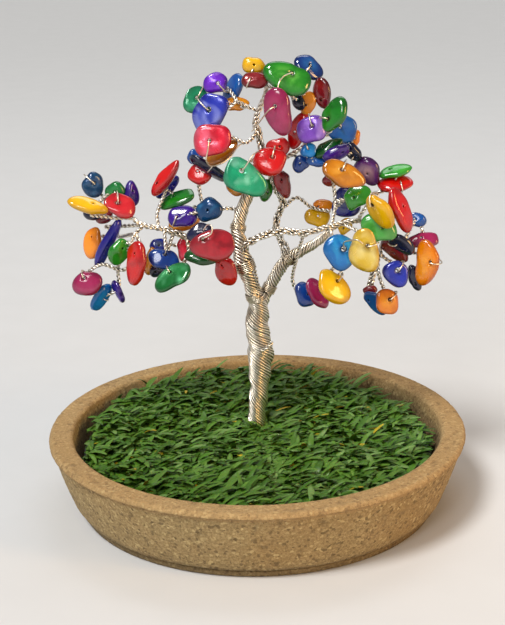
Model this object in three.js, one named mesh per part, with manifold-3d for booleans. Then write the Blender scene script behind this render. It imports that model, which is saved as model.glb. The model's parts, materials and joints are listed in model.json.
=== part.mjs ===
// A small wire tree with dyed shell chips, standing in a cork saucer of artificial turf.
// Millimetres, +Z up. The origin is the centre of the saucer's underside, and -Y is the front.

import * as THREE from 'three';
import { mergeVertices } from 'three/addons/utils/BufferGeometryUtils.js';
import Module from 'manifold-3d';

const wasm = await Module();
wasm.setup();

// ---------------------------------------------------------------- driving dimensions

const RIM_RADIUS = 60;
const FOOT_RADIUS = 52.4;
const SAUCER_HEIGHT = 22;
const WALL = 7;
const FLOOR = 5;
const FOOT_STEP = 2.3;

const GAP = 0.3;

const FILLER_TOP = 13.2;
const BACKING_THICKNESS = 1.5;
const TURF_TIP = 20.6;
const WELL_RADIUS = 16;

const TREE = new THREE.Vector2(0, 8);
const TRUNK_FOOT_RADIUS = 2.6;

const WIRE = 0.5;
const BORE = 1.7;
const WIRE_CLEARANCE = 0.6;

const SAUCER_SIDES = 40;
const CHIP_SIDES = 9;

const DYES = {
  RED: 0xc01018,
  DARK_RED: 0x7c0a1c,
  CORAL: 0xd02a34,
  CRIMSON: 0xa01a34,
  MAGENTA: 0xb01f63,
  PINK_PEARL: 0xd8266a,
  ORANGE: 0xd97a0a,
  AMBER: 0xc87818,
  YELLOW: 0xe6bd08,
  YELLOW_PEARL: 0xddc63c,
  GREEN: 0x16802c,
  PEARL_GREEN: 0x1f8f5a,
  SEA_GREEN: 0x12a077,
  JADE: 0x66b066,
  TEAL: 0x136a92,
  TEAL_PEARL: 0x10a283,
  BLUE: 0x0f5fb0,
  BLUE_PEARL: 0x3f66c8,
  CLEAR_BLUE: 0x3c5fa0,
  NAVY: 0x141c46,
  INDIGO: 0x2a2f8c,
  PURPLE: 0x5a1a9a,
  LILAC: 0x8f62c8,
  CLEAR_PURPLE: 0x6a3a80,
};

// ---------------------------------------------------------------- solids and meshes

function solidOf(geometry) {
  const bare = geometry.clone();
  for (const attribute of Object.keys(bare.attributes)) {
    if (attribute !== 'position') bare.deleteAttribute(attribute);
  }
  const merged = mergeVertices(bare);
  return new wasm.Manifold(new wasm.Mesh({
    numProp: 3,
    vertProperties: new Float32Array(merged.attributes.position.array),
    triVerts: new Uint32Array(merged.index.array),
  }));
}

function geometryOf(solid) {
  const mesh = solid.getMesh();
  const geometry = new THREE.BufferGeometry();
  geometry.setAttribute('position', new THREE.BufferAttribute(mesh.vertProperties, 3));
  geometry.setIndex(new THREE.BufferAttribute(mesh.triVerts, 1));
  geometry.computeVertexNormals();
  return geometry;
}

function joined(geometries) {
  return geometryOf(geometries.map(solidOf).reduce((whole, piece) => whole.add(piece)));
}

function named(name, geometry, colour, roughness = 0.5, metalness = 0) {
  const mesh = new THREE.Mesh(
    geometry,
    new THREE.MeshStandardMaterial({ color: colour, roughness, metalness }),
  );
  mesh.name = name;
  return mesh;
}

// A closed ring or disc turned about +Z from [radius, height] corners.
function turned(corners, sides = SAUCER_SIDES) {
  const profile = corners.map(([radius, height]) => new THREE.Vector2(radius, height));
  return new THREE.LatheGeometry(profile, sides).rotateX(Math.PI / 2);
}

// ---------------------------------------------------------------- saucer and its filling

function saucer() {
  const inner = RIM_RADIUS - WALL;
  const innerFloor = inner - 4;
  const slope = (RIM_RADIUS - FOOT_RADIUS) / SAUCER_HEIGHT;
  return turned([
    [0, 0],
    [FOOT_RADIUS - 1.4, 0],
    [FOOT_RADIUS - 0.6, FOOT_STEP - 0.3],
    [FOOT_RADIUS + slope * FOOT_STEP, FOOT_STEP + 0.3],
    [RIM_RADIUS - 0.5, SAUCER_HEIGHT - 2.5],
    [RIM_RADIUS, SAUCER_HEIGHT - 1.6],
    [RIM_RADIUS - 1.6, SAUCER_HEIGHT],
    [inner + 1.6, SAUCER_HEIGHT],
    [inner, SAUCER_HEIGHT - 1.6],
    [innerFloor + 1, FLOOR + 1],
    [innerFloor - 1, FLOOR],
    [0, FLOOR],
  ]);
}

function fillerDisc() {
  const top = FILLER_TOP;
  const bottom = FLOOR + GAP;
  const outer = RIM_RADIUS - WALL - 4;
  const disc = turned([
    [0, bottom],
    [outer - 1.4, bottom],
    [outer + 0.6, top],
    [0, top],
  ], 36);
  const well = turned([
    [0, bottom - 1],
    [WELL_RADIUS, bottom - 1],
    [WELL_RADIUS, top + 1],
    [0, top + 1],
  ], 24);
  return geometryOf(solidOf(disc).subtract(solidOf(well.translate(TREE.x, TREE.y, 0))));
}

function rootWires() {
  const roots = [];
  const count = 6;
  for (let i = 0; i < count; i += 1) {
    const angle = (i / count) * 2 * Math.PI;
    const out = new THREE.Vector3(Math.cos(angle), Math.sin(angle), 0);
    const foot = new THREE.Vector3(TREE.x, TREE.y, FLOOR + GAP + 1);
    const path = new THREE.CatmullRomCurve3([
      foot.clone().addScaledVector(out, 0.8).setZ(FLOOR + 6),
      foot.clone().addScaledVector(out, 2.4).setZ(FLOOR + 2.6),
      foot.clone().addScaledVector(out, 6),
      foot.clone().addScaledVector(out, 11),
    ]);
    roots.push(wire(path, 0.8, 6, 6));
  }
  return roots;
}

// Hot glue that holds the splayed root wires: a lump with the shape of the roots cut out of it.
function gluePad() {
  const lump = turned([
    [0, FLOOR + GAP],
    [WELL_RADIUS - 0.6, FLOOR + GAP],
    [WELL_RADIUS - 0.6, FLOOR + 5],
    [WELL_RADIUS - 4, FILLER_TOP - 0.4],
    [0, FILLER_TOP - 0.4],
  ], 24).translate(TREE.x, TREE.y, 0);
  const socket = turned([
    [0, FLOOR + GAP - 1],
    [12.6, FLOOR + GAP - 1],
    [12.6, FLOOR + GAP + 2.2],
    [TRUNK_FOOT_RADIUS + 2.6, FLOOR + 6.4],
    [TRUNK_FOOT_RADIUS + 0.5, FLOOR + 8],
    [TRUNK_FOOT_RADIUS + 0.5, FILLER_TOP + 1],
    [0, FILLER_TOP + 1],
  ], 24).translate(TREE.x, TREE.y, 0);
  return geometryOf(solidOf(lump).subtract(solidOf(socket)));
}

function turfBacking() {
  const bottom = FILLER_TOP + GAP;
  const top = bottom + BACKING_THICKNESS;
  const outer = RIM_RADIUS - WALL - 2.6;
  const sheet = turned([[0, bottom], [outer, bottom], [outer, top], [0, top]], 40);
  return geometryOf(solidOf(sheet).subtract(trunkHole(bottom - 1, top + 1)));
}

// The whole pile of blades as one low cushion with an uneven top.
function turfPile() {
  const bottom = FILLER_TOP + BACKING_THICKNESS + 2 * GAP;
  const outer = RIM_RADIUS - WALL - 2.4;
  const pile = turned([
    [0, bottom],
    [outer, bottom],
    [outer + 0.8, TURF_TIP - 2.2],
    [outer - 1.4, TURF_TIP - 1],
    [outer * 0.6, TURF_TIP - 0.2],
    [outer * 0.3, TURF_TIP - 0.8],
    [0, TURF_TIP - 0.4],
  ], 32);
  return geometryOf(solidOf(pile).subtract(trunkHole(bottom - 1, TURF_TIP + 1)));
}

function trunkHole(bottom, top) {
  const radius = TRUNK_FOOT_RADIUS + 0.6;
  const plug = turned([[0, bottom], [radius, bottom], [radius, top], [0, top]], 14);
  return solidOf(plug.translate(TREE.x, TREE.y, 0));
}

// ---------------------------------------------------------------- twisted wire

function regularSection(radius, sides) {
  const corners = [];
  for (let i = 0; i < sides; i += 1) {
    const angle = (i / sides) * 2 * Math.PI;
    corners.push(new THREE.Vector2(radius * Math.cos(angle), radius * Math.sin(angle)));
  }
  return new THREE.Shape(corners);
}

// A single wire, or a thin twisted pair, along a curve.
function wire(path, diameter, sides, steps) {
  return new THREE.ExtrudeGeometry(regularSection(diameter / 2, sides), {
    extrudePath: path,
    steps,
    bevelEnabled: false,
  });
}

// A bundle of twisted wires. The route is a list of [x, y, z, radius], and the section has
// one ridge for each strand on the outside, turning with the twist.
function bundle(route, { ridges = 0, turns = 0, stepsPerSpan = 2 } = {}) {
  const corners = ridges ? ridges * 2 : 6;
  const steps = (route.length - 1) * stepsPerSpan;
  const section = [];
  for (let i = 0; i < corners; i += 1) {
    const angle = (i / corners) * 2 * Math.PI;
    const reach = ridges && i % 2 ? 0.86 : 1;
    section.push(new THREE.Vector2(reach * Math.cos(angle), reach * Math.sin(angle)));
  }
  const bar = new THREE.ExtrudeGeometry(new THREE.Shape(section), {
    depth: 1,
    steps,
    bevelEnabled: false,
  });
  const path = new THREE.CatmullRomCurve3(route.map(([x, y, z]) => new THREE.Vector3(x, y, z)));
  const frames = steadyFrames(path, steps);
  const position = bar.attributes.position;
  for (let i = 0; i < position.count; i += 1) {
    const step = Math.round(position.getZ(i) * steps);
    const t = step / steps;
    const span = Math.min(Math.floor(t * (route.length - 1)), route.length - 2);
    const along = t * (route.length - 1) - span;
    const radius = THREE.MathUtils.lerp(route[span][3], route[span + 1][3], along);
    const twist = turns * 2 * Math.PI * t;
    const across = new THREE.Vector2(position.getX(i), position.getY(i))
      .rotateAround(new THREE.Vector2(), twist)
      .multiplyScalar(radius);
    const { centre, side, up } = frames[step];
    position.setXYZ(
      i,
      centre.x + across.x * side.x + across.y * up.x,
      centre.y + across.x * side.y + across.y * up.y,
      centre.z + across.x * side.z + across.y * up.z,
    );
  }
  return bar;
}

// Right-handed frames along a curve that turn as little as they can from one to the next.
function steadyFrames(path, steps) {
  const frames = [];
  let side = new THREE.Vector3(1, 0, 0);
  for (let i = 0; i <= steps; i += 1) {
    const forward = path.getTangent(i / steps);
    if (i === 0 && Math.abs(forward.x) > 0.9) side.set(0, 1, 0);
    side = side.clone().addScaledVector(forward, -side.dot(forward)).normalize();
    frames.push({ centre: path.getPoint(i / steps), side, up: forward.clone().cross(side) });
  }
  return frames;
}

// ---------------------------------------------------------------- chips

// Outlines of a chip in its own plane, by angle, for a half length and half width of 1.
const OUTLINES = {
  oval: (a) => [Math.cos(a), Math.sin(a)],
  pebble: (a) => [
    Math.cos(a) * (1 + 0.05 * Math.cos(3 * a + 1)),
    Math.sin(a) * (1 + 0.07 * Math.cos(2 * a + 0.6)),
  ],
  drop: (a) => [Math.cos(a), Math.sin(a) * (1 - 0.26 * Math.cos(a))],
  corner: (a) => [
    Math.cos(a) * (1 + 0.1 * Math.cos(3 * a)),
    Math.sin(a) * (1 + 0.1 * Math.cos(3 * a)),
  ],
  bean: (a) => [Math.cos(a), Math.sin(a) * 0.94 + 0.14 * Math.cos(2 * a) + 0.06],
  half: (a) => [Math.cos(a), Math.sin(a) > 0 ? Math.sin(a) * 0.84 : Math.sin(a) * 1.05],
};

// Rounded section from the drilled hole out to the edge: [way out, height], 0..1 and -0.5..0.5.
const CHIP_SECTION = [[0, -0.4], [0.6, -0.5], [0.97, -0.2], [0.97, 0.2], [0.6, 0.5], [0, 0.4]];

// A chip lies with its long side on X, its width on Z and its hole along Y through the origin.
function chipGeometry({ size, hole, form }, sides = CHIP_SIDES) {
  const [length, width, thickness] = size;
  const ring = [...CHIP_SECTION, CHIP_SECTION[0]];
  const profile = ring.map(([out, height]) => new THREE.Vector2(1 + out, height));
  const chip = new THREE.LatheGeometry(profile, sides);
  const position = chip.attributes.position;
  for (let i = 0; i < position.count; i += 1) {
    const angle = Math.atan2(position.getZ(i), position.getX(i));
    const out = Math.hypot(position.getX(i), position.getZ(i)) - 1;
    const [u, v] = OUTLINES[form](angle);
    const edge = [u * length / 2 - hole[0], v * width / 2 - hole[1]];
    const bore = [Math.cos(angle) * BORE / 2, Math.sin(angle) * BORE / 2];
    const x = THREE.MathUtils.lerp(bore[0], edge[0], out);
    const z = THREE.MathUtils.lerp(bore[1], edge[1], out);
    position.setXYZ(i, x, position.getY(i) * thickness, z);
  }
  return chip;
}

function chipRotation({ turn }) {
  const [roll, tilt, yaw = 0] = turn;
  const radians = THREE.MathUtils.degToRad;
  return new THREE.Euler(radians(tilt), radians(-roll), radians(yaw), 'ZYX');
}

function chipMesh(chip) {
  const mesh = named(chip.name, chipGeometry(chip), DYES[chip.dye], 0.25);
  mesh.position.set(...chip.at);
  mesh.rotation.copy(chipRotation(chip));
  return mesh;
}

// ---------------------------------------------------------------- what hangs where

// Chips that can each turn on their own wire. at: middle of the hole. turn: roll of the long
// side in the front plane, tilt about the long side, then yaw. size: length, width, thickness.
// hole: where the hole lies from the chip's middle, along its length and its width.
const CHIPS = [
  // far end of the left bough
  {
    name: 'far_teal_chip', at: [-45, 10, 92], turn: [88, 20], size: [7.6, 6.6, 3.4],
    hole: [0.8, 0], form: 'pebble', dye: 'TEAL',
  },
  {
    name: 'far_yellow_chip', at: [-44.5, 1.5, 87], turn: [-17, -64], size: [11.6, 6.4, 3],
    hole: [1.5, 0], form: 'oval', dye: 'YELLOW',
  },
  {
    name: 'coral_chip', at: [-38, 4.5, 87], turn: [-25, -35], size: [9.4, 6.6, 3],
    hole: [-1, 0], form: 'oval', dye: 'CORAL',
  },
  {
    name: 'far_orange_chip', at: [-45.5, 9, 76.5], turn: [75, -40], size: [9.4, 6.2, 3],
    hole: [1.5, 0], form: 'drop', dye: 'ORANGE',
  },
  {
    name: 'indigo_chip', at: [-39.5, 6, 78.5], turn: [63, 66], size: [16, 5.6, 2.8],
    hole: [3, 0], form: 'oval', dye: 'INDIGO',
  },
  {
    name: 'left_green_chip', at: [-37, 1, 75.5], turn: [65, 30], size: [8, 6.2, 3],
    hole: [1.5, 0], form: 'oval', dye: 'GREEN',
  },
  {
    name: 'left_red_chip', at: [-32.5, -2, 74.5], turn: [82, -35], size: [12.6, 6.4, 3.2],
    hole: [2.5, 0], form: 'oval', dye: 'RED',
  },
  {
    name: 'low_magenta_chip', at: [-48, 2.5, 66.5], turn: [20, -10], size: [8.8, 7.6, 3.2],
    hole: [0, 2], form: 'pebble', dye: 'MAGENTA',
  },
  // middle of the left bough
  {
    name: 'high_red_chip', at: [-26, 10, 91], turn: [53, -45], size: [13, 6.2, 2.8],
    hole: [-2.5, 0], form: 'drop', dye: 'RED',
  },
  {
    name: 'left_blue_chip', at: [-25, 1.5, 72.5], turn: [-12, -35], size: [9.6, 6.2, 3.2],
    hole: [0, 1], form: 'pebble', dye: 'BLUE',
  },
  {
    name: 'pearl_green_chip', at: [-23, -4, 69], turn: [33, -50], size: [12, 6.8, 2.6],
    hole: [0, 1.2], form: 'oval', dye: 'PEARL_GREEN',
  },
  {
    name: 'crimson_chip', at: [-14, -6.5, 79.5], turn: [8, -12], size: [13.4, 8.4, 2.8],
    hole: [-2.6, 1.6], form: 'half', dye: 'CRIMSON',
  },
  {
    name: 'low_red_chip', at: [-8.5, 1, 70], turn: [-75, 30], size: [9.4, 6.6, 3],
    hole: [-2, 0], form: 'oval', dye: 'RED',
  },
  // left of the crown
  {
    name: 'pink_pearl_chip', at: [-11.5, -1, 105.5], turn: [20, -12], size: [10.8, 9.6, 2.8],
    hole: [-0.5, 0], form: 'pebble', dye: 'PINK_PEARL',
  },
  {
    name: 'sea_green_chip', at: [-15, 9, 115.5], turn: [-30, -15], size: [8.4, 7.6, 2.8],
    hole: [-0.6, 0.6], form: 'corner', dye: 'SEA_GREEN',
  },
  {
    name: 'blue_pearl_chip', at: [-11.5, 4.5, 113], turn: [60, -15], size: [12.4, 9.4, 2.6],
    hole: [0.8, 0.5], form: 'pebble', dye: 'BLUE_PEARL',
  },
  {
    name: 'lilac_chip', at: [-9, 8.5, 119.5], turn: [20, -10], size: [7, 6.2, 3.2],
    hole: [0.7, -0.4], form: 'pebble', dye: 'LILAC',
  },
  {
    name: 'crown_blue_chip', at: [-5.5, 12.5, 116], turn: [65, -55], size: [10, 6, 2.8],
    hole: [-1, 0], form: 'oval', dye: 'BLUE',
  },
  // top of the crown
  {
    name: 'crown_green_chip', at: [11, 2.5, 122.5], turn: [-20, -22], size: [14, 8, 3.2],
    hole: [0.6, 1.3], form: 'oval', dye: 'GREEN',
  },
  {
    name: 'crown_magenta_chip', at: [6.5, -2.5, 115], turn: [-82, 12], size: [13.2, 8.2, 3],
    hole: [-1.4, -0.4], form: 'oval', dye: 'MAGENTA',
  },
  {
    name: 'crown_glass_chip', at: [16, 12, 123], turn: [-35, -40], size: [9.4, 6, 2.8],
    hole: [0, 0], form: 'oval', dye: 'CLEAR_BLUE',
  },
  {
    name: 'teal_pearl_chip', at: [-3, -3, 97.5], turn: [-42, -12], size: [13, 9, 2.6],
    hole: [-1.6, 1], form: 'bean', dye: 'TEAL_PEARL',
  },
  {
    name: 'heart_red_chip', at: [5.5, 2, 100], turn: [10, -15], size: [9.6, 8.2, 3.2],
    hole: [1, 1], form: 'pebble', dye: 'RED',
  },
  // right of the crown
  {
    name: 'lilac_pearl_chip', at: [16.5, 2, 108.5], turn: [40, -12], size: [8.8, 7.8, 2.8],
    hole: [0.8, 0.6], form: 'pebble', dye: 'LILAC',
  },
  {
    name: 'right_green_chip', at: [21, -3, 111], turn: [60, -42], size: [10.2, 6.6, 3],
    hole: [-1.8, 0.4], form: 'oval', dye: 'GREEN',
  },
  {
    name: 'cupped_blue_chip', at: [24.5, 8, 107], turn: [-40, -10], size: [9.2, 8.4, 3],
    hole: [-0.8, 0], form: 'pebble', dye: 'BLUE',
  },
  {
    name: 'amber_leaf_chip', at: [24, -3, 97], turn: [-27, -25], size: [13, 6.2, 3],
    hole: [-1.4, 0.6], form: 'drop', dye: 'AMBER',
  },
  {
    name: 'clear_purple_chip', at: [32.5, 8, 94], turn: [-60, 25], size: [9, 7, 3.6],
    hole: [0.5, 0], form: 'corner', dye: 'CLEAR_PURPLE',
  },
  // right bough
  {
    name: 'clear_blue_chip', at: [27, 11, 86], turn: [75, -10], size: [9.4, 8.6, 2.6],
    hole: [1.2, 0], form: 'corner', dye: 'CLEAR_BLUE',
  },
  {
    name: 'right_yellow_chip', at: [33, -4, 88], turn: [-55, 38], size: [11.4, 6.8, 3],
    hole: [-3, 0], form: 'oval', dye: 'YELLOW',
  },
  {
    name: 'right_red_chip', at: [41, 1.5, 85.5], turn: [-67, -35], size: [13.4, 6.6, 3.2],
    hole: [-0.5, 0.5], form: 'oval', dye: 'RED',
  },
  {
    name: 'jade_chip', at: [35.5, -0.5, 80], turn: [-20, -15], size: [10.8, 7.4, 3],
    hole: [0.8, 0], form: 'oval', dye: 'JADE',
  },
  {
    name: 'low_blue_chip', at: [24.5, -5, 75.5], turn: [-35, -14], size: [10.6, 9.6, 2.8],
    hole: [0, 1], form: 'pebble', dye: 'BLUE',
  },
  {
    name: 'yellow_pearl_chip', at: [31, -9, 77.5], turn: [-82, 8], size: [13.4, 8, 2.6],
    hole: [-1.6, 1], form: 'bean', dye: 'YELLOW_PEARL',
  },
  // below the right bough
  {
    name: 'hanging_blue_chip', at: [14.5, 6, 59], turn: [-60, -35], size: [8, 6.4, 3.2],
    hole: [0, 0], form: 'pebble', dye: 'BLUE',
  },
  {
    name: 'hanging_red_chip', at: [18, 2.5, 60.5], turn: [-58, -48], size: [9.6, 6.6, 2.6],
    hole: [0, 0], form: 'oval', dye: 'DARK_RED',
  },
  {
    name: 'hanging_yellow_chip', at: [22.5, -2, 65], turn: [-45, -40], size: [11.8, 8, 3.2],
    hole: [-0.6, 1.4], form: 'oval', dye: 'YELLOW',
  },
  {
    name: 'big_orange_chip', at: [50, 1.5, 69.5], turn: [85, -28], size: [13, 7, 3.4],
    hole: [0.5, -1.4], form: 'bean', dye: 'ORANGE',
  },
  {
    name: 'low_pearl_chip', at: [40, -1, 68], turn: [-40, -10], size: [8, 7.6, 2.8],
    hole: [-0.4, 1], form: 'pebble', dye: 'BLUE_PEARL',
  },
  {
    name: 'low_orange_chip', at: [37.5, -1, 59.5], turn: [-60, -20], size: [8, 6.6, 3],
    hole: [-0.8, 0.6], form: 'drop', dye: 'ORANGE',
  },
];

const chipNamed = new Map(CHIPS.map((chip) => [chip.name, chip]));

// The trunk and boughs. bundles: routes of [x, y, z, radius]. loops: the wire that carries
// chips, as points and chip names in the order in which it is threaded.
const BRANCHES = {
  trunk: {
    ridges: 6,
    turns: 3,
    bundles: [[
      [0, 8, 9, 2.6], [0, 8, 16, 2.6], [0, 8, 21, 2.6], [0.5, 8, 26, 2.7], [1, 8, 31, 2.8],
      [1.2, 8, 36.5, 3.3],
      [1.5, 8, 42, 3.8], [1, 8, 46, 3.2], [0.5, 8, 50, 3.7], [1, 8, 54, 2.8], [1.5, 8, 57.5, 3.1],
    ]],
    loops: [],
  },
  left_stem: {
    ridges: 5,
    turns: 2,
    bundles: [
      [
        [-0.3, 7, 58.2, 1.9], [-1, 6, 63.5, 2.4], [-3, 5, 69.5, 2.7], [-4, 6, 74, 2.5],
        [-4.5, 8, 77.5, 2.1],
        [-3, 9, 84, 1.9], [-1, 9, 88.5, 1.7], [1, 8, 94.5, 1.5],
      ],
      [[-4, 9, 83.5, 0.7], [-11, 10, 84, 0.6], [-17, 11, 84, 0.5]],
    ],
    loops: [],
  },
  right_stem: {
    ridges: 4,
    turns: 2,
    bundles: [
      [
        [3.3, 9, 58.2, 1.5], [6.5, 9, 64.5, 1.9], [9.5, 8, 69, 2], [14, 7, 72, 1.6], [18, 6, 74.5, 1.4],
        [21, 5, 77.5, 1.1],
      ],
      [
        [9.5, 8, 69, 1.6], [8.5, 10, 72, 1.4], [6.5, 13, 77, 1.2], [7.5, 14, 81.5, 1.1],
        [8.5, 13, 84.5, 1.1],
        [6.5, 12, 88.5, 1], [5, 11.5, 93, 0.9], [5, 11, 97, 0.8],
      ],
      [[8.5, 13.5, 83, 0.7], [12.5, 14, 85.5, 0.6], [16.5, 14, 83, 0.6], [22, 13, 81.5, 0.5]],
    ],
    loops: [],
  },
  left_bough: {
    ridges: 3,
    turns: 4,
    bundles: [
      [
        [-7.3, 6, 74.3, 1.2], [-12, 6, 75, 1.1], [-19, 5, 77, 1.1], [-25, 4, 79.5, 1], [-31, 4, 81, 0.9],
        [-34, 4, 83, 0.7],
      ],
      [[-27, 4.5, 80.3, 0.6], [-27, 7, 83, 0.5], [-26, 9, 86, 0.5]],
      [[-31, 4, 81, 0.7], [-33, 2, 79, 0.6], [-34, 0, 77, 0.5]],
    ],
    loops: [
      [[-34, 4, 83], [-37, 7.5, 84], 'coral_chip', 'over'],
      [[-34, 4, 83], [-39, 4.5, 83], 'far_yellow_chip', 'over'],
      [[-34, 4, 83], [-40, 9, 84], [-43, 12, 88], 'far_teal_chip', 'over'],
      [[-31, 4, 81], [-36, 7, 80], 'indigo_chip', 'over'],
      [[-33, 2, 79], [-39, 10.5, 76], 'far_orange_chip', 'over'],
      [[-34, 0, 77], 'left_green_chip', 'over'],
      [[-34, 0, 77], [-34, 2, 71], [-37, 2, 68.5], [-43, 3, 70], 'low_magenta_chip', 'over'],
      [[-33, 2, 79], 'left_red_chip', 'over'],
      [[-26, 9, 86], 'high_red_chip', 'over'],
      [[-25, 4, 79.5], 'left_blue_chip', 'over'],
      [[-19, 5, 77], [-18.5, 3, 73], 'pearl_green_chip', 'over'],
      [[-13, 6, 75.2], [-14, 0, 78], 'crimson_chip', 'over'],
      [[-10, 6, 75], 'low_red_chip', 'over'],
    ],
  },
  front_bough: {
    ridges: 3,
    turns: 4,
    bundles: [
      [
        [-2, 2, 75.5, 1.2], [1, 1, 77.5, 1.2], [8.5, 0, 79.5, 1.1], [14, 0, 79, 1.1], [21, 0, 80.5, 1],
        [29, 2, 81.5, 0.8], [34, 7, 78, 0.7], [37, 8, 75, 0.6],
      ],
      [[21.5, 0, 80.5, 0.7], [23, 5, 84.5, 0.6], [22.5, 7, 91, 0.6], [23, 4, 94, 0.5]],
    ],
    loops: [
      [[23, 4, 94], 'amber_leaf_chip', 'over'],
      [[22.5, 7, 91], [28, 11, 92], 'clear_purple_chip', 'over'],
      [[23, 5, 84.5], [25, 8, 85.5], 'clear_blue_chip', 'over'],
      [[34, 7, 78], 'jade_chip', 'over'],
      [[29, 2, 81.5], [30.5, 0, 85], 'right_yellow_chip', 'over'],
      [[34, 7, 78], [38, 8, 83], 'right_red_chip', 'over'],
      [[21, 0, 80.5], [22, -1, 77.5], 'low_blue_chip', 'over'],
      [[25, 1, 81], [28, -4, 80.5], 'yellow_pearl_chip', 'over'],
      [
        [14, 0, 79], [12, 5, 70], [11, 9, 62],
        'hanging_blue_chip', 'hanging_red_chip', 'hanging_yellow_chip',
        [23.5, -2, 71], [21, 0, 80.5],
      ],
      [[37, 8, 75], [36, 5, 71], 'low_pearl_chip', 'over'],
      [[37, 8, 75], [44, 8, 71], 'big_orange_chip', 'over'],
      [[37, 8, 75], [35, 4, 67], 'low_orange_chip', 'over'],
    ],
  },
  crown_wires: {
    ridges: 3,
    turns: 3,
    bundles: [
      [
        [2.2, 8, 98.5, 1.3], [2, 8, 105.5, 1.1], [1, 8, 108.5, 1], [2, 8, 112, 0.9],
        [4, 8, 117, 0.6], [4, 7, 121, 0.5],
      ],
      [[2, 8, 111.5, 0.6], [-1, 8, 113, 0.5], [-4, 6, 115, 0.4]],
      [[1.5, 8, 106.5, 0.6], [-1.5, 5, 103.5, 0.5], [-6, 4, 105.5, 0.5]],
      [
        [2.5, 8, 99.5, 0.8], [8.5, 8, 98.5, 0.7], [13.5, 8, 101, 0.6], [16, 7, 103, 0.5],
        [19, 6, 105, 0.5],
      ],
    ],
    loops: [
      [[-6, 4, 105.5], 'pink_pearl_chip', 'over'],
      [[-4, 6, 115], [-8, 8, 112], 'blue_pearl_chip', 'over'],
      [[-1, 8, 113], [-10, 12, 112], [-14, 12.5, 113], 'sea_green_chip', 'over'],
      [[-4, 6, 115], [-6, 9.5, 117.5], 'lilac_chip', 'over'],
      [[-1, 8, 113], [-4, 13, 114], 'crown_blue_chip', 'over'],
      [[4, 7, 121], 'crown_green_chip', 'over'],
      [[4, 8, 117], 'crown_magenta_chip', 'over'],
      [[4, 7, 121], [11, 13, 120], 'crown_glass_chip', 'over'],
      [[2, 8, 99], [-1, 3, 98.5], 'teal_pearl_chip', 'over'],
      [[2, 8, 99], 'heart_red_chip', 'over'],
      [[16, 7, 103], [17, 5, 105.5], 'lilac_pearl_chip', 'over'],
      [[19, 6, 105], [21.5, 2, 107], 'right_green_chip', 'over'],
      [[19, 6, 105], [23, 12, 104.5], 'cupped_blue_chip', 'over'],
    ],
  },
};

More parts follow.
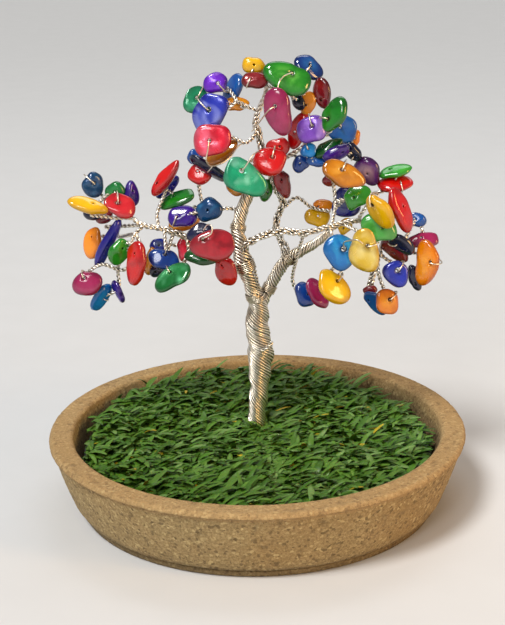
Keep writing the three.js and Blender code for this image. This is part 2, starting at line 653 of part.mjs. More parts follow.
// Tight clusters in which the chips bear on each other. route: the twisted pair that they are
// threaded on. chips: [middle, [roll, tilt], size].
const SPRAYS = {
  far_left_spray: {
    dye: 'PURPLE',
    route: [[-35, 9, 85], [-34.5, 11, 88], [-39, 10, 89.5], [-45.5, 8, 83.5], [-42.5, 9, 82.5]],
    chips: [
      [[-34.5, 11, 88], [88, 30], [8.4, 4.6, 3]],
      [[-39, 10, 89.5], [30, 0], [6, 5, 2.6]],
      [[-45.5, 8, 83.5], [0, -20], [5, 4, 2.6]],
      [[-42.5, 9, 82.5], [10, -30], [5.6, 4.6, 2.6]],
    ],
  },
  low_left_spray: {
    dye: 'BLUE',
    route: [[-38.5, 4, 69], [-39, 5, 62], [-44, 6, 59.5]],
    chips: [
      [[-39, 5, 61.5], [-70, 60], [7.6, 4.6, 2.2]],
      [[-44, 6, 59.5], [60, 55], [9.4, 6.4, 2.8]],
    ],
  },
  high_left_spray: {
    dye: 'GREEN',
    route: [[-12.5, 6, 84.5], [-20, 7, 82.5], [-20, 12, 79.5], [-21.5, 11, 86.5], [-24.5, 14.5, 89]],
    chips: [
      [[-12.5, 6, 84.5], [30, -20], [7.6, 7, 3]],
      [[-20, 7, 82.5], [10, -25], [8.6, 6.2, 3]],
      [[-20, 12, 79.5], [5, -20], [9, 5, 2.8]],
      [[-21.5, 11, 86.5], [22, -60], [10.2, 5.6, 2.4]],
      [[-24.5, 14.5, 89], [45, 40], [9.4, 4.4, 2.6]],
    ],
  },
  low_left_inner_spray: {
    dye: 'PINK_PEARL',
    route: [[-27.5, 6, 67], [-29.5, 7, 69.5], [-27, 8, 74], [-19.5, 8, 73], [-14.5, 0.5, 72.5]],
    chips: [
      [[-27.5, 6, 67], [20, 0], [5, 4, 2.6]],
      [[-29.5, 7, 69.5], [80, 10], [8.4, 4, 2.8]],
      [[-27, 8, 74], [0, -30], [5, 4, 2.6]],
      [[-19.5, 8, 73], [85, 25], [7.6, 5.2, 3]],
      [[-14.5, 0.5, 72.5], [-6, -60], [10, 6, 2.8]],
    ],
  },
  crown_left_spray: {
    dye: 'AMBER',
    route: [[-15, 9, 94], [-12, 7, 96], [-16, 9, 99], [-8.5, 5.5, 101]],
    chips: [
      [[-15, 9, 94], [0, -10], [6.4, 6.2, 3]],
      [[-12, 7, 96], [-37, 50], [12, 5, 2.6]],
      [[-16, 9, 99], [0, 0], [4.6, 4.4, 2.6]],
      [[-8.5, 5.5, 101], [33, -50], [10.2, 6, 2.6]],
    ],
  },
  crown_top_spray: {
    dye: 'DARK_RED',
    route: [[1, 6, 124.5], [1, 3, 121], [10, 6, 117], [13, 8, 114], [15.5, 9, 113.5], [19.5, 9, 116.5]],
    chips: [
      [[1, 6, 124.5], [-10, -20], [6.8, 4.6, 3.4]],
      [[1, 3, 121], [0, -25], [7.4, 4.6, 2.8]],
      [[13, 8, 114], [-60, 0], [5, 3.6, 2.6]],
      [[15.5, 9, 113.5], [80, 10], [6.6, 5, 2.8]],
      [[19.5, 9, 116.5], [-80, 35], [9.4, 5.4, 2.8]],
    ],
  },
  high_right_spray: {
    dye: 'PURPLE',
    route: [
      [13, 9, 106], [15.5, 3, 101.5], [17.5, 4, 98.5], [21, 3.5, 102], [23, 3, 100.5],
      [28, 7, 100], [28, 11, 103],
    ],
    chips: [
      [[13, 9, 106], [70, -10], [10.4, 5.6, 2.8]],
      [[15.5, 3, 101.5], [20, -10], [4.6, 4, 2.4]],
      [[17.5, 4, 98.5], [-10, -20], [5.4, 4, 2.6]],
      [[21, 3.5, 102], [30, -50], [8.6, 4.4, 2.6]],
      [[23, 3, 100.5], [22, 40], [8.2, 4.8, 3]],
      [[28, 7, 100], [-45, 30], [6, 4.4, 2.6]],
      [[28, 11, 103], [50, -10], [6, 4.6, 2.6]],
    ],
  },
  right_spray: {
    dye: 'GREEN',
    route: [[29, 4, 88], [36, 7, 88.5], [40, 7.5, 90.5], [40, 8.5, 94]],
    chips: [
      [[29, 4, 88], [40, -20], [8, 6.6, 3]],
      [[40, 7.5, 90.5], [8, -55], [8.8, 6, 2.6]],
      [[40, 8.5, 94], [12, -65], [8.6, 6, 2.4]],
    ],
  },
  low_right_spray: {
    dye: 'NAVY',
    route: [[40, 4.5, 72], [41.5, 2, 74.5], [46.5, 8, 80], [48, 6, 74.5], [45.5, 5, 64]],
    chips: [
      [[40, 4.5, 72], [-42, 40], [10, 6, 2.6]],
      [[41.5, 2, 74.5], [-38, 40], [8.6, 6, 3]],
      [[46.5, 8, 80], [-10, -10], [5, 4.4, 2.8]],
      [[48, 6, 74.5], [8, -30], [8.6, 4.4, 3]],
      [[45.5, 5, 64], [-70, 20], [8.6, 3.6, 2.8]],
    ],
  },
};

// ---------------------------------------------------------------- threading

function axisOf(chip) {
  return new THREE.Vector3(0, 1, 0).applyEuler(chipRotation(chip));
}

// Where a wire leaves a chip's hole along `along` and is bent back over the nearest edge.
function hookOver(chip, along) {
  const [length, width, thickness] = chip.size;
  const away = new THREE.Vector2(...chip.hole);
  if (away.length() < 0.1) away.set(0, 1);
  away.normalize();
  let edge = 0;
  for (let i = 0; i < 24; i += 1) {
    const [u, v] = OUTLINES[chip.form]((i / 24) * 2 * Math.PI);
    const corner = new THREE.Vector2(u * length / 2 - chip.hole[0], v * width / 2 - chip.hole[1]);
    edge = Math.max(edge, corner.dot(away));
  }
  const middle = new THREE.Vector3(...chip.at);
  const outward = new THREE.Vector3(away.x, 0, away.y).applyEuler(chipRotation(chip));
  return [
    middle.clone()
      .addScaledVector(outward, edge * 0.8)
      .addScaledVector(along, thickness / 2 + WIRE_CLEARANCE),
    middle.clone().addScaledVector(outward, edge + WIRE_CLEARANCE + 0.2),
  ];
}

function threadedLoop(stops) {
  const points = [];
  let chip = null;
  let along = null;
  for (const stop of stops) {
    if (stop === 'over') {
      points.push(...hookOver(chip, along));
    } else if (typeof stop === 'string') {
      chip = chipNamed.get(stop);
      along = axisOf(chip);
      const middle = new THREE.Vector3(...chip.at);
      const reach = chip.size[2] / 2 + WIRE_CLEARANCE;
      if (along.dot(middle.clone().sub(points.at(-1))) < 0) along.negate();
      points.push(middle.clone().addScaledVector(along, -reach));
      points.push(middle);
      points.push(middle.clone().addScaledVector(along, reach));
    } else {
      points.push(new THREE.Vector3(...stop));
    }
  }
  const path = new THREE.CatmullRomCurve3(points, false, 'centripetal');
  return wire(path, WIRE, 4, (points.length - 1) * 2);
}

function branchGeometry({ ridges, turns, bundles, loops }) {
  const [main, ...twigs] = bundles;
  return joined([
    bundle(main, { ridges, turns }),
    ...twigs.map((route) => bundle(route)),
    ...loops.map(threadedLoop),
  ]);
}

function sprayGeometry({ route, chips }) {
  const path = new THREE.CatmullRomCurve3(route.map((point) => new THREE.Vector3(...point)));
  const thread = wire(path, 2 * WIRE, 5, (route.length - 1) * 3);
  return joined([thread, ...chips.map(closedChip)]);
}

function closedChip([at, turn, [length, width, thickness]]) {
  const matrix = new THREE.Matrix4().makeRotationFromEuler(chipRotation({ turn }));
  matrix.setPosition(...at);
  return new THREE.SphereGeometry(0.5, 7, 5).scale(length, thickness, width).applyMatrix4(matrix);
}

// ---------------------------------------------------------------- the tree

const tree = new THREE.Group();
const SILVER = 0xd8cdb8;

tree.add(named('saucer', saucer(), 0xa8855a, 0.9));
tree.add(named('filler_disc', fillerDisc(), 0xd8d2c4, 0.9));
tree.add(named('glue_pad', gluePad(), 0xe0d8b8, 0.4));
tree.add(named('turf_backing', turfBacking(), 0x15171a, 0.8));
tree.add(named('turf_pile', turfPile(), 0x2f6b2c, 0.6));

for (const [name, branch] of Object.entries(BRANCHES)) {
  const geometry = name === 'trunk'
    ? joined([branchGeometry(branch), ...rootWires()])
    : branchGeometry(branch);
  tree.add(named(name, geometry, SILVER, 0.3, 0.9));
}
for (const [name, spray] of Object.entries(SPRAYS)) {
  tree.add(named(name, sprayGeometry(spray), DYES[spray.dye], 0.3));
}
for (const chip of CHIPS) {
  tree.add(chipMesh(chip));
}

export default tree;
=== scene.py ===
import json
import math
import random

import bmesh
import bpy
import numpy as np
from mathutils import Matrix, Vector, noise


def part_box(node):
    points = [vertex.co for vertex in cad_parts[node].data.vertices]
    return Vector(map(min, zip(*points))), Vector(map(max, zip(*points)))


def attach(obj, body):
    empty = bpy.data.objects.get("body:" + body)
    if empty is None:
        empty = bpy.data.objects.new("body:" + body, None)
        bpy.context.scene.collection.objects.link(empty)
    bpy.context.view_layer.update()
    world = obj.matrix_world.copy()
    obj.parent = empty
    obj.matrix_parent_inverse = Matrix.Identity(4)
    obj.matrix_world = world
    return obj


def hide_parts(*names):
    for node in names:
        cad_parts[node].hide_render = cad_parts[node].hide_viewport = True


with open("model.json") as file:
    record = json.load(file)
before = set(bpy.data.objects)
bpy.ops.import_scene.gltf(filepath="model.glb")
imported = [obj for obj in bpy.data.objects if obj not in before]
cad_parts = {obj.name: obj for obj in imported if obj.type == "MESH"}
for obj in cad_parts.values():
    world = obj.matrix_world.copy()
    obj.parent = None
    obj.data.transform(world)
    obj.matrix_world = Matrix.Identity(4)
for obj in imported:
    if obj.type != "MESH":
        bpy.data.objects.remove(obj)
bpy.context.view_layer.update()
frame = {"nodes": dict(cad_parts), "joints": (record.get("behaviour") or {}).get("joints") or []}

MM = 0.001
NODES = frame["nodes"]

IMAGE_HEIGHT = 625
FOCAL_LENGTH = 1400
SENSOR = 36.0
CAMERA_AT = (-0.72 * MM, -376.9 * MM, 178.4 * MM)
CAMERA_PITCH = math.radians(18.01)
CAMERA_ROLL = -0.018

WIRE_RADIUS = 0.21 * MM
PAIR_WIRE_RADIUS = 0.30 * MM
STRAND_RADIUS = 0.37 * MM
PAIR_PITCH = 2.6 * MM
PAIR_STEPS = 9
ROPE_PITCH = 11 * MM
CABLE_TWIST = 4.5
CABLE_LOBES = 0.08
WRAP_PITCH = 2.2 * WIRE_RADIUS
WIRE_STEP = 0.35 * MM
WIRE_BEHIND = 1.7 * MM

HOLE_RADIUS = 0.48 * MM
TIGHT_HOLE = 0.25 * MM
CHIP_SIDES = 52
FACE_STEPS = 15
PLUMP = 1.28
MOST_TURN = math.radians(25)
RICHNESS = 1.16

TREE_Y = 8 * MM
SAUCER_WALL = 7 * MM
SAUCER_SIDES = 360
TURF_PITCH = 2.5 * MM
COLLAR_BLADES = 26
BLADE_SPANS = 5


# ---------------------------------------------------------------- camera, light, floor

def add_camera():
    data = bpy.data.cameras.new("camera")
    data.sensor_width = SENSOR
    data.lens = FOCAL_LENGTH * SENSOR / IMAGE_HEIGHT
    data.clip_start = 0.01
    camera = bpy.data.objects.new("camera", data)
    bpy.context.scene.collection.objects.link(camera)
    tilt = Matrix.Rotation(math.pi / 2 - CAMERA_PITCH, 4, "X")
    roll = Matrix.Rotation(CAMERA_ROLL, 4, "Z")
    camera.matrix_world = Matrix.Translation(CAMERA_AT) @ tilt @ roll
    bpy.context.scene.camera = camera


def add_light(name, kind, at, towards, energy, colour):
    data = bpy.data.lights.new(name, kind)
    data.energy = energy
    data.color = colour
    light = bpy.data.objects.new(name, data)
    light.location = at
    aim = Vector(towards) - Vector(at)
    light.rotation_euler = aim.to_track_quat("-Z", "Y").to_euler()
    bpy.context.scene.collection.objects.link(light)
    return data


def add_area_light(name, at, size, watts, colour):
    data = add_light(name, "AREA", at, (0, 0, 0.06), watts, colour)
    data.shape = "RECTANGLE"
    data.size, data.size_y = size


def add_sun(name, at, strength, spread, colour):
    data = add_light(name, "SUN", at, (0, 0, 0), strength, colour)
    data.angle = math.radians(spread)


def add_studio():
    add_sun("key_light", (-0.42, -0.50, 0.95), 2.65, 16, (1.0, 0.985, 0.96))
    add_area_light("front_light", (-0.16, -0.55, 0.42), (0.16, 0.22), 1.1, (1.0, 1.0, 1.0))
    add_area_light("warm_light", (0.42, -0.26, 0.20), (0.10, 0.26), 1.15, (1.0, 0.58, 0.20))
    add_area_light("top_light", (0.05, 0.35, 0.70), (0.50, 0.30), 1.2, (0.93, 0.96, 1.0))
    world = bpy.data.worlds.new("studio")
    world.use_nodes = True
    nodes, links = world.node_tree.nodes, world.node_tree.links
    split = nodes.new("ShaderNodeSeparateXYZ")
    fade = nodes.new("ShaderNodeValToRGB")
    for element, position, grey in zip(fade.color_ramp.elements, (0.02, 0.30), (0.57, 0.25)):
        element.position = position
        element.color = (grey, grey, grey, 1)
    links.new(nodes.new("ShaderNodeTexCoord").outputs["Generated"], split.inputs[0])
    links.new(split.outputs["Z"], fade.inputs["Fac"])
    links.new(fade.outputs["Color"], nodes["Background"].inputs["Color"])
    nodes["Background"].inputs["Strength"].default_value = 1.0
    bpy.context.scene.world = world
    bpy.context.scene.view_settings.view_transform = "Standard"


def add_floor():
    half = 14
    mesh = bpy.data.meshes.new("floor")
    corners = [(-half, -half, 0), (half, -half, 0), (half, half, 0), (-half, half, 0)]
    mesh.from_pydata(corners, [], [(0, 1, 2, 3)])
    floor = bpy.data.objects.new("floor", mesh)
    bpy.context.scene.collection.objects.link(floor)
    paint = Paint("floor_paper")
    fine = paint.noise(scale=60, detail=4)
    paint.colour(paint.ramp(fine, [(0.3, (0.60, 0.60, 0.598)), (0.7, (0.615, 0.615, 0.613))]))
    paint.shader.inputs["Roughness"].default_value = 0.7
    mesh.materials.append(paint.material)


# ---------------------------------------------------------------- materials

def srgb(code):
    """Linear colour of a hexadecimal screen colour."""
    parts = [int(code[i:i + 2], 16) / 255 for i in (0, 2, 4)]
    return tuple(p / 12.92 if p < 0.04045 else ((p + 0.055) / 1.055) ** 2.4 for p in parts)


def scaled(colour, factor):
    return tuple(min(1.0, c * factor) for c in colour)


def mixed(a, b, amount):
    return tuple(x + (y - x) * amount for x, y in zip(a, b))


class Paint:
    """A material whose nodes are added one by one."""

    def __init__(self, name):
        self.material = bpy.data.materials.new(name)
        self.material.use_nodes = True
        self.tree = self.material.node_tree
        self.shader = self.tree.nodes["Principled BSDF"]
        self.place = self.tree.nodes.new("ShaderNodeTexCoord").outputs["Object"]

    def feed(self, socket, value):
        if isinstance(value, bpy.types.NodeSocket):
            self.tree.links.new(value, socket)
        elif isinstance(value, tuple) and socket.type == "RGBA":
            socket.default_value = (*value, 1)
        else:
            socket.default_value = value

    def made(self, kind, output, inputs, **settings):
        """One output of a new node with these inputs and settings."""
        node = self.tree.nodes.new("ShaderNode" + kind)
        for name, value in settings.items():
            setattr(node, name, value)
        for key, value in inputs.items():
            self.feed(node.inputs[key], value)
        return node.outputs[output]

    def noise(self, scale, detail=3.0, rough=0.5, distort=0.0):
        inputs = {"Vector": self.place, "Scale": scale, "Detail": detail}
        inputs.update({"Roughness": rough, "Distortion": distort})
        return self.made("TexNoise", "Fac", inputs)

    def cells(self, scale, output="Color"):
        return self.made("TexVoronoi", output, {"Vector": self.place, "Scale": scale})

    def bands(self, scale, distortion, detail):
        inputs = {"Vector": self.place, "Scale": scale, "Distortion": distortion, "Detail": detail}
        return self.made("TexWave", "Fac", inputs)

    def ramp(self, value, stops):
        node = self.tree.nodes.new("ShaderNodeValToRGB")
        elements = node.color_ramp.elements
        while len(elements) < len(stops):
            elements.new(0.5)
        for element, (position, colour) in zip(elements, stops):
            element.position = position
            element.color = (*colour, 1)
        self.feed(node.inputs["Fac"], value)
        return node.outputs["Color"]

    def span(self, value, low, high, out_low=0.0, out_high=1.0):
        """The value moved from one range to another, and held at its ends."""
        inputs = dict(enumerate((value, low, high, out_low, out_high)))
        return self.made("MapRange", "Result", inputs)

    def times(self, a, b):
        return self.made("Math", 0, {0: a, 1: b}, operation="MULTIPLY")

    def mix(self, amount, a, b):
        return self.made("Mix", 2, {"Factor": amount, 6: a, 7: b}, data_type="RGBA")

    def attribute(self, name, output="Fac"):
        return self.made("Attribute", output, {}, attribute_name=name)

    def colour(self, value):
        self.feed(self.shader.inputs["Base Color"], value)

    def rough(self, value):
        self.feed(self.shader.inputs["Roughness"], value)

    def bump(self, height, distance, strength=1.0):
        inputs = {"Height": height, "Distance": distance, "Strength": strength}
        normal = self.shader.inputs["Normal"]
        if normal.links:
            inputs["Normal"] = normal.links[0].from_socket
        self.feed(normal, self.made("Bump", "Normal", inputs))

    def constant(self, **values):
        for name, value in values.items():
            self.feed(self.shader.inputs[name.replace("_", " ")], value)


def wire_material():
    paint = Paint("silver_wire")
    tint = paint.noise(scale=160, detail=2)
    shade = paint.attribute("shade")
    silver = paint.ramp(tint, [(0.35, (0.80, 0.74, 0.65)), (0.6, (0.97, 0.94, 0.88))])
    gold = (0.72, 0.53, 0.28)
    body = paint.mix(paint.times(shade, 0.55), silver, gold)
    # Painted shade: the wire is mixed to dark brown where ambient occlusion finds the grooves between
    # the strands.
    hollow = paint.made("AmbientOcclusion", "AO", {"Distance": 0.9 * MM}, samples=6)
    depth = paint.span(hollow, 0.30, 0.80)
    paint.colour(paint.mix(depth, (0.13, 0.095, 0.055), body))
    paint.constant(Metallic=1.0)
    fine = paint.noise(scale=2400, detail=3)
    paint.rough(paint.span(fine, 0.2, 0.8, 0.24, 0.40))
    paint.bump(fine, 0.00003, 0.6)
    return paint.material


def saucer_material():
    paint = Paint("pressed_clay")
    base = paint.noise(scale=1500, detail=6, rough=0.8)
    tan = paint.ramp(base, [
        (0.30, srgb("5f4a2c")),
        (0.43, srgb("8c754a")),
        (0.54, srgb("a0875a")),
        (0.68, srgb("c2aa78")),
    ])
    clouds = paint.noise(scale=30, detail=4)
    tan = paint.mix(paint.span(clouds, 0.45, 0.70, 0.0, 0.40), tan, srgb("94703a"))
    grain = paint.cells(scale=1350)
    dark = paint.span(grain, 0.76, 0.84)
    pale = paint.span(grain, 0.24, 0.17)
    tan = paint.mix(paint.times(dark, 0.62), tan, srgb("4e3b20"))
    tan = paint.mix(paint.times(pale, 0.50), tan, srgb("d0b780"))
    wear = paint.attribute("wear")
    worn = paint.times(wear, paint.span(base, 0.35, 0.62, 0.2, 0.7))
    tan = paint.mix(worn, tan, srgb("b08b5c"))
    specks = paint.cells(scale=46, output="Distance")
    red = paint.span(specks, 0.035, 0.02)
    red = paint.times(red, paint.span(paint.cells(scale=46), 0.72, 0.74))
    tan = paint.mix(paint.times(red, 0.8), tan, srgb("a02a22"))
    # Painted shade: darker brown in the groove of the foot's step, inside the bowl below the rim and in
    # the pits.
    grime = paint.attribute("grime")
    tan = paint.mix(paint.times(grime, 0.75), tan, srgb("3c2a16"))
    paint.colour(tan)
    paint.rough(paint.span(base, 0.3, 0.7, 0.95, 0.8))
    paint.bump(paint.cells(scale=1500, output="Distance"), 0.00018, 0.7)
    paint.bump(base, 0.00028, 0.9)
    return paint.material


def turf_material():
    paint = Paint("turf")
    tone = paint.attribute("tone", "Color")
    streak = paint.noise(scale=620, detail=3)
    paint.colour(paint.mix(paint.span(streak, 0.35, 0.75, 0.0, 0.35), tone, (0.030, 0.085, 0.012)))
    paint.rough(paint.span(streak, 0.3, 0.7, 0.28, 0.5))
    paint.constant(Subsurface_Weight=0.15, Subsurface_Scale=0.001, Specular_IOR_Level=0.28)
    paint.bump(paint.noise(scale=1800, detail=2), 0.00006, 0.5)
    return paint.material


def backing_material():
    paint = Paint("turf_backing")
    weave = paint.cells(scale=520, output="Distance")
    paint.colour(paint.ramp(weave, [(0.0, (0.010, 0.012, 0.012)), (0.7, (0.035, 0.04, 0.04))]))
    paint.rough(paint.span(weave, 0.0, 0.8, 0.55, 0.8))
    paint.bump(weave, 0.0004, 1.0)
    return paint.material


def filler_material():
    paint = Paint("filler")
    grain = paint.noise(scale=500, detail=5)
    paint.colour(paint.ramp(grain, [(0.35, (0.52, 0.48, 0.40)), (0.65, (0.70, 0.66, 0.58))]))
    paint.rough(0.9)
    paint.bump(grain, 0.0003)
    return paint.material


def glue_material():
    paint = Paint("glue")
    cloud = paint.noise(scale=130, detail=3)
    paint.colour(paint.ramp(cloud, [(0.35, (0.66, 0.60, 0.40)), (0.65, (0.80, 0.76, 0.62))]))
    paint.rough(paint.span(cloud, 0.3, 0.7, 0.25, 0.4))
    paint.bump(cloud, 0.0006)
    return paint.material


# Dye, deeper shade of it for the painted shade at the edges and round the hole, and lighter shade of it
# in streaks, in the painted sheen of pearl chips and in the painted glow in the middle of clear chips.
DYES = {
    "red": ("c80d12", "6a060a", "ee3a30"),
    "dark_red": ("8a1822", "42060c", "b83a40"),
    "coral": ("c41e2c", "700c16", "f06066"),
    "crimson": ("aa2434", "5c0e1c", "cc5a5c"),
    "magenta": ("9c1c58", "520a30", "d05a94"),
    "pink_pearl": ("dc0c3c", "8c0424", "ff8caa"),
    "orange": ("f09400", "b45a00", "ffbe2a"),
    "amber": ("d68e0a", "8c5002", "f8c45c"),
    "yellow": ("e2b400", "a87400", "ffe020"),
    "yellow_pearl": ("d6b830", "b88a06", "f8f2b4"),
    "green": ("0e7a18", "043c0a", "4cb43c"),
    "leaf": ("2f9e28", "0c5c14", "90e070"),
    "dark_green": ("0a5220", "032c10", "2c9040"),
    "pearl_green": ("10803c", "04421e", "7ad8a0"),
    "sea_green": ("1a9a6c", "085a40", "8cecc0"),
    "jade": ("52aa4e", "267428", "a8e298"),
    "teal": ("0c4c7c", "052a4c", "3c8cba"),
    "teal_pearl": ("1cae80", "066850", "c0fce4"),
    "blue": ("0858a4", "042e66", "40a8e0"),
    "deep_blue": ("0a408c", "041e52", "3a88cc"),
    "azure": ("0480c8", "04487e", "52ccf6"),
    "blue_pearl": ("2a3cb8", "101870", "b4c0ff"),
    "clear_blue": ("1428a0", "080e60", "8090ac"),
    "navy": ("10143e", "06061a", "38447e"),
    "indigo": ("2616a0", "100a58", "5654d2"),
    "purple": ("420c92", "200450", "8448dc"),
    "lilac": ("7a2acc", "420880", "cc9cff"),
    "lilac_pearl": ("8e56c8", "542a90", "e6ccff"),
    "clear_purple": ("6c2c84", "341048", "dcb4b4"),
}


def chip_material(dye, finish):
    base, deep, pale = (tuple(c ** RICHNESS for c in srgb(code)) for code in DYES[dye])
    paint = Paint(f"chip_{dye}_{finish}")
    cloud = paint.noise(scale=190, detail=3, rough=0.5, distort=0.6)
    rim = paint.attribute("rim")
    veins = paint.noise(scale=560, detail=5, rough=0.6, distort=2.0)
    paint.constant(IOR=1.5, Coat_Weight=0.6, Coat_Roughness=0.03)
    if finish == "gloss":
        stops = [(0.28, mixed(base, deep, 0.5)), (0.45, base), (0.78, mixed(base, pale, 0.22))]
        body = paint.ramp(cloud, stops)
        # Painted shade: the chip is mixed to its deeper dye towards its rim, where its face turns away
        # from the light.
        body = paint.mix(paint.span(rim, 0.6, 1.0, 0.0, 0.4), body, deep)
        body = paint.mix(paint.span(veins, 0.62, 0.8, 0.0, 0.2), body, pale)
        paint.rough(paint.span(veins, 0.3, 0.7, 0.10, 0.22))
    if finish == "pearl":
        # Pale swirls of a pearl chip: partly its swirled pearly pigment, partly a painted sheen.
        flow = paint.noise(scale=105, detail=1.5, rough=0.4, distort=2.0)
        ripple = paint.bands(scale=90, distortion=9, detail=2)
        sheen = paint.span(flow, 0.44, 0.76)
        sheen = paint.times(sheen, paint.span(ripple, 0.1, 0.9, 0.45, 1.0))
        body = paint.ramp(cloud, [(0.30, mixed(base, deep, 0.45)), (0.55, base)])
        body = paint.mix(paint.times(sheen, 0.80), body, pale)
        # Painted shade: the chip is mixed to its deeper dye towards its rim, where its face turns away
        # from the light.
        body = paint.mix(paint.span(rim, 0.65, 1.0, 0.0, 0.6), body, deep)
        paint.constant(Metallic=0.22)
        paint.rough(paint.span(veins, 0.3, 0.7, 0.14, 0.30))
    if finish == "clear":
        body = paint.ramp(cloud, [(0.30, mixed(base, deep, 0.4)), (0.55, base)])
        # Painted glow: the middle of a clear chip is mixed towards its pale dye, as if lit through.
        inside = paint.span(rim, 0.20, 0.75, 1.0, 0.0)
        heart = paint.times(inside, paint.span(cloud, 0.4, 0.6, 0.1, 0.7))
        body = paint.mix(heart, body, pale)
        # Painted shade: the chip is mixed to its deeper dye towards its rim, where its face turns away
        # from the light.
        body = paint.mix(paint.span(rim, 0.75, 1.0, 0.0, 0.7), body, deep)
        paint.constant(Transmission_Weight=0.22)
        paint.rough(paint.span(veins, 0.3, 0.7, 0.05, 0.15))
    # Painted shade: the chip is mixed to a very dark copy of its deeper dye on the wall of its hole and
    # round it.
    body = paint.mix(paint.attribute("dirt"), body, scaled(deep, 0.35))
    paint.colour(body)
    paint.bump(paint.noise(scale=330, detail=3), 0.0003, 0.4)
    paint.bump(veins, 0.00004, 0.4)
    return paint.material


chip_materials = {}


def material_of(dye, finish):
    key = (dye, finish)
    if key not in chip_materials:
        chip_materials[key] = chip_material(dye, finish)
    return chip_materials[key]


# ---------------------------------------------------------------- mesh making

class Skin:
    """Vertices, faces and per-vertex values gathered for one object."""

    def __init__(self):
        self.points = []
        self.faces = []
        self.values = {}
        self.count = 0

    def add(self, points, faces, **values):
        points = np.asarray(points, float)
        self.points.append(points)
        self.faces.extend([tuple(i + self.count for i in face) for face in faces])
        for name, value in values.items():
            value = np.asarray(value, float)
            if value.ndim == 0:
                value = np.full(len(points), float(value))
            self.values.setdefault(name, []).append(value)
        self.count += len(points)

    def build(self, name, material, body="root"):
        mesh = bpy.data.meshes.new(name)
        points = np.concatenate(self.points)
        mesh.from_pydata(points.tolist(), [], self.faces)
        for key, parts in self.values.items():
            value = np.concatenate(parts)
            if value.ndim == 1:
                layer = mesh.attributes.new(key, "FLOAT", "POINT")
                layer.data.foreach_set("value", value)
            else:
                layer = mesh.attributes.new(key, "FLOAT_COLOR", "POINT")
                layer.data.foreach_set("color", value.ravel())
        mesh.polygons.foreach_set("use_smooth", [True] * len(mesh.polygons))
        mesh.materials.append(material)
        mesh.validate()
        piece = bpy.data.objects.new(name, mesh)
        bpy.context.scene.collection.objects.link(piece)
        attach(piece, body)
        return piece


def millimetres(rows):
    return np.array(rows, float) * MM


def smooth_path(controls, spacing):
    """Rows about `spacing` apart on a smooth curve through the control rows.
    The first three columns are the place, and any others run straight from row to row."""
    rows = np.array(controls, float)
    ends = np.vstack([2 * rows[0] - rows[1], rows, 2 * rows[-1] - rows[-2]])
    path = []
    for i in range(len(rows) - 1):
        p = ends[i:i + 4, :3]
        gaps = np.maximum(np.linalg.norm(np.diff(p, axis=0), axis=1), 1e-9)
        knots = np.concatenate([[0], np.cumsum(np.sqrt(gaps))])
        steps = max(2, math.ceil(gaps[1] / spacing))
        for share in np.arange(steps) / steps:
            place = curve_point(p, knots, knots[1] + share * (knots[2] - knots[1]))
            path.append(np.concatenate([place, rows[i, 3:] + (rows[i + 1, 3:] - rows[i, 3:]) * share]))
    path.append(rows[-1])
    return np.array(path)


def curve_point(p, knots, t):
    """The point at t of the curve through p[1] and p[2], by the Barry-Goldman pyramid."""
    def between(a, b, low, high):
        return ((high - t) * a + (t - low) * b) / (high - low)
    first = between(p[0], p[1], knots[0], knots[1])
    second = between(p[1], p[2], knots[1], knots[2])
    third = between(p[2], p[3], knots[2], knots[3])
    left = between(first, second, knots[0], knots[2])
    right = between(second, third, knots[1], knots[3])
    return between(left, right, knots[1], knots[2])


def steady_frames(places):
    """Tangent, side and up along a path, turning as little as they can."""
    tangents = np.gradient(places, axis=0)
    tangents /= np.maximum(np.linalg.norm(tangents, axis=1), 1e-12)[:, None]
    side = np.array([1.0, 0, 0]) if abs(tangents[0][0]) < 0.9 else np.array([0, 1.0, 0])
    sides = np.empty_like(places)
    for i, forward in enumerate(tangents):
        side = side - side.dot(forward) * forward
        side /= max(np.linalg.norm(side), 1e-12)
        sides[i] = side
    return tangents, sides, np.cross(tangents, sides)


def add_wire(skin, places, radius, shade=0.0, sides=6):
    """A round wire with domed ends along a path."""
    tangents, side, up = steady_frames(places)
    count = len(places)
    angles = np.arange(sides) * 2 * math.pi / sides
    ring = (np.cos(angles)[None, :, None] * side[:, None, :]
            + np.sin(angles)[None, :, None] * up[:, None, :])
    points = (places[:, None, :] + radius * ring).reshape(-1, 3)
    tips = [places[0] - tangents[0] * radius * 0.7, places[-1] + tangents[-1] * radius * 0.7]
    faces = []
    for i in range(count - 1):
        for k in range(sides):
            a = i * sides + k
            b = i * sides + (k + 1) % sides
            faces.append((a, b, b + sides, a + sides))
    start, end = count * sides, count * sides + 1
    last = (count - 1) * sides
    for k in range(sides):
        faces.append((start, (k + 1) % sides, k))
        faces.append((end, last + k, last + (k + 1) % sides))
    skin.add(np.vstack([points, tips]), faces, shade=shade)


def around(places, radius, angles):
    """The path that winds round another path, at a radius and an angle for each point."""
    _, side, up = steady_frames(places)
    return places + radius[:, None] * (np.cos(angles)[:, None] * side + np.sin(angles)[:, None] * up)


def lengths_along(places):
    return np.concatenate([[0], np.cumsum(np.linalg.norm(np.diff(places, axis=0), axis=1))])


def noise_along(length, scale, row, layer):
    """Smooth noise for each length along a wire, on a row and layer of its own."""
    return np.array([noise.noise(Vector((l / scale, row, layer))) for l in length])


def add_pair(skin, controls, start=0.0):
    """Two wires twisted round each other along a route."""
    path = smooth_path(controls, PAIR_PITCH / PAIR_STEPS)[:, :3]
    turn = start + lengths_along(path) / PAIR_PITCH * 2 * math.pi
    offset = np.full(len(path), PAIR_WIRE_RADIUS)
    for k, shade in ((0, 0.1), (1, 0.5)):
        add_wire(skin, around(path, offset, turn + k * math.pi), PAIR_WIRE_RADIUS, shade)


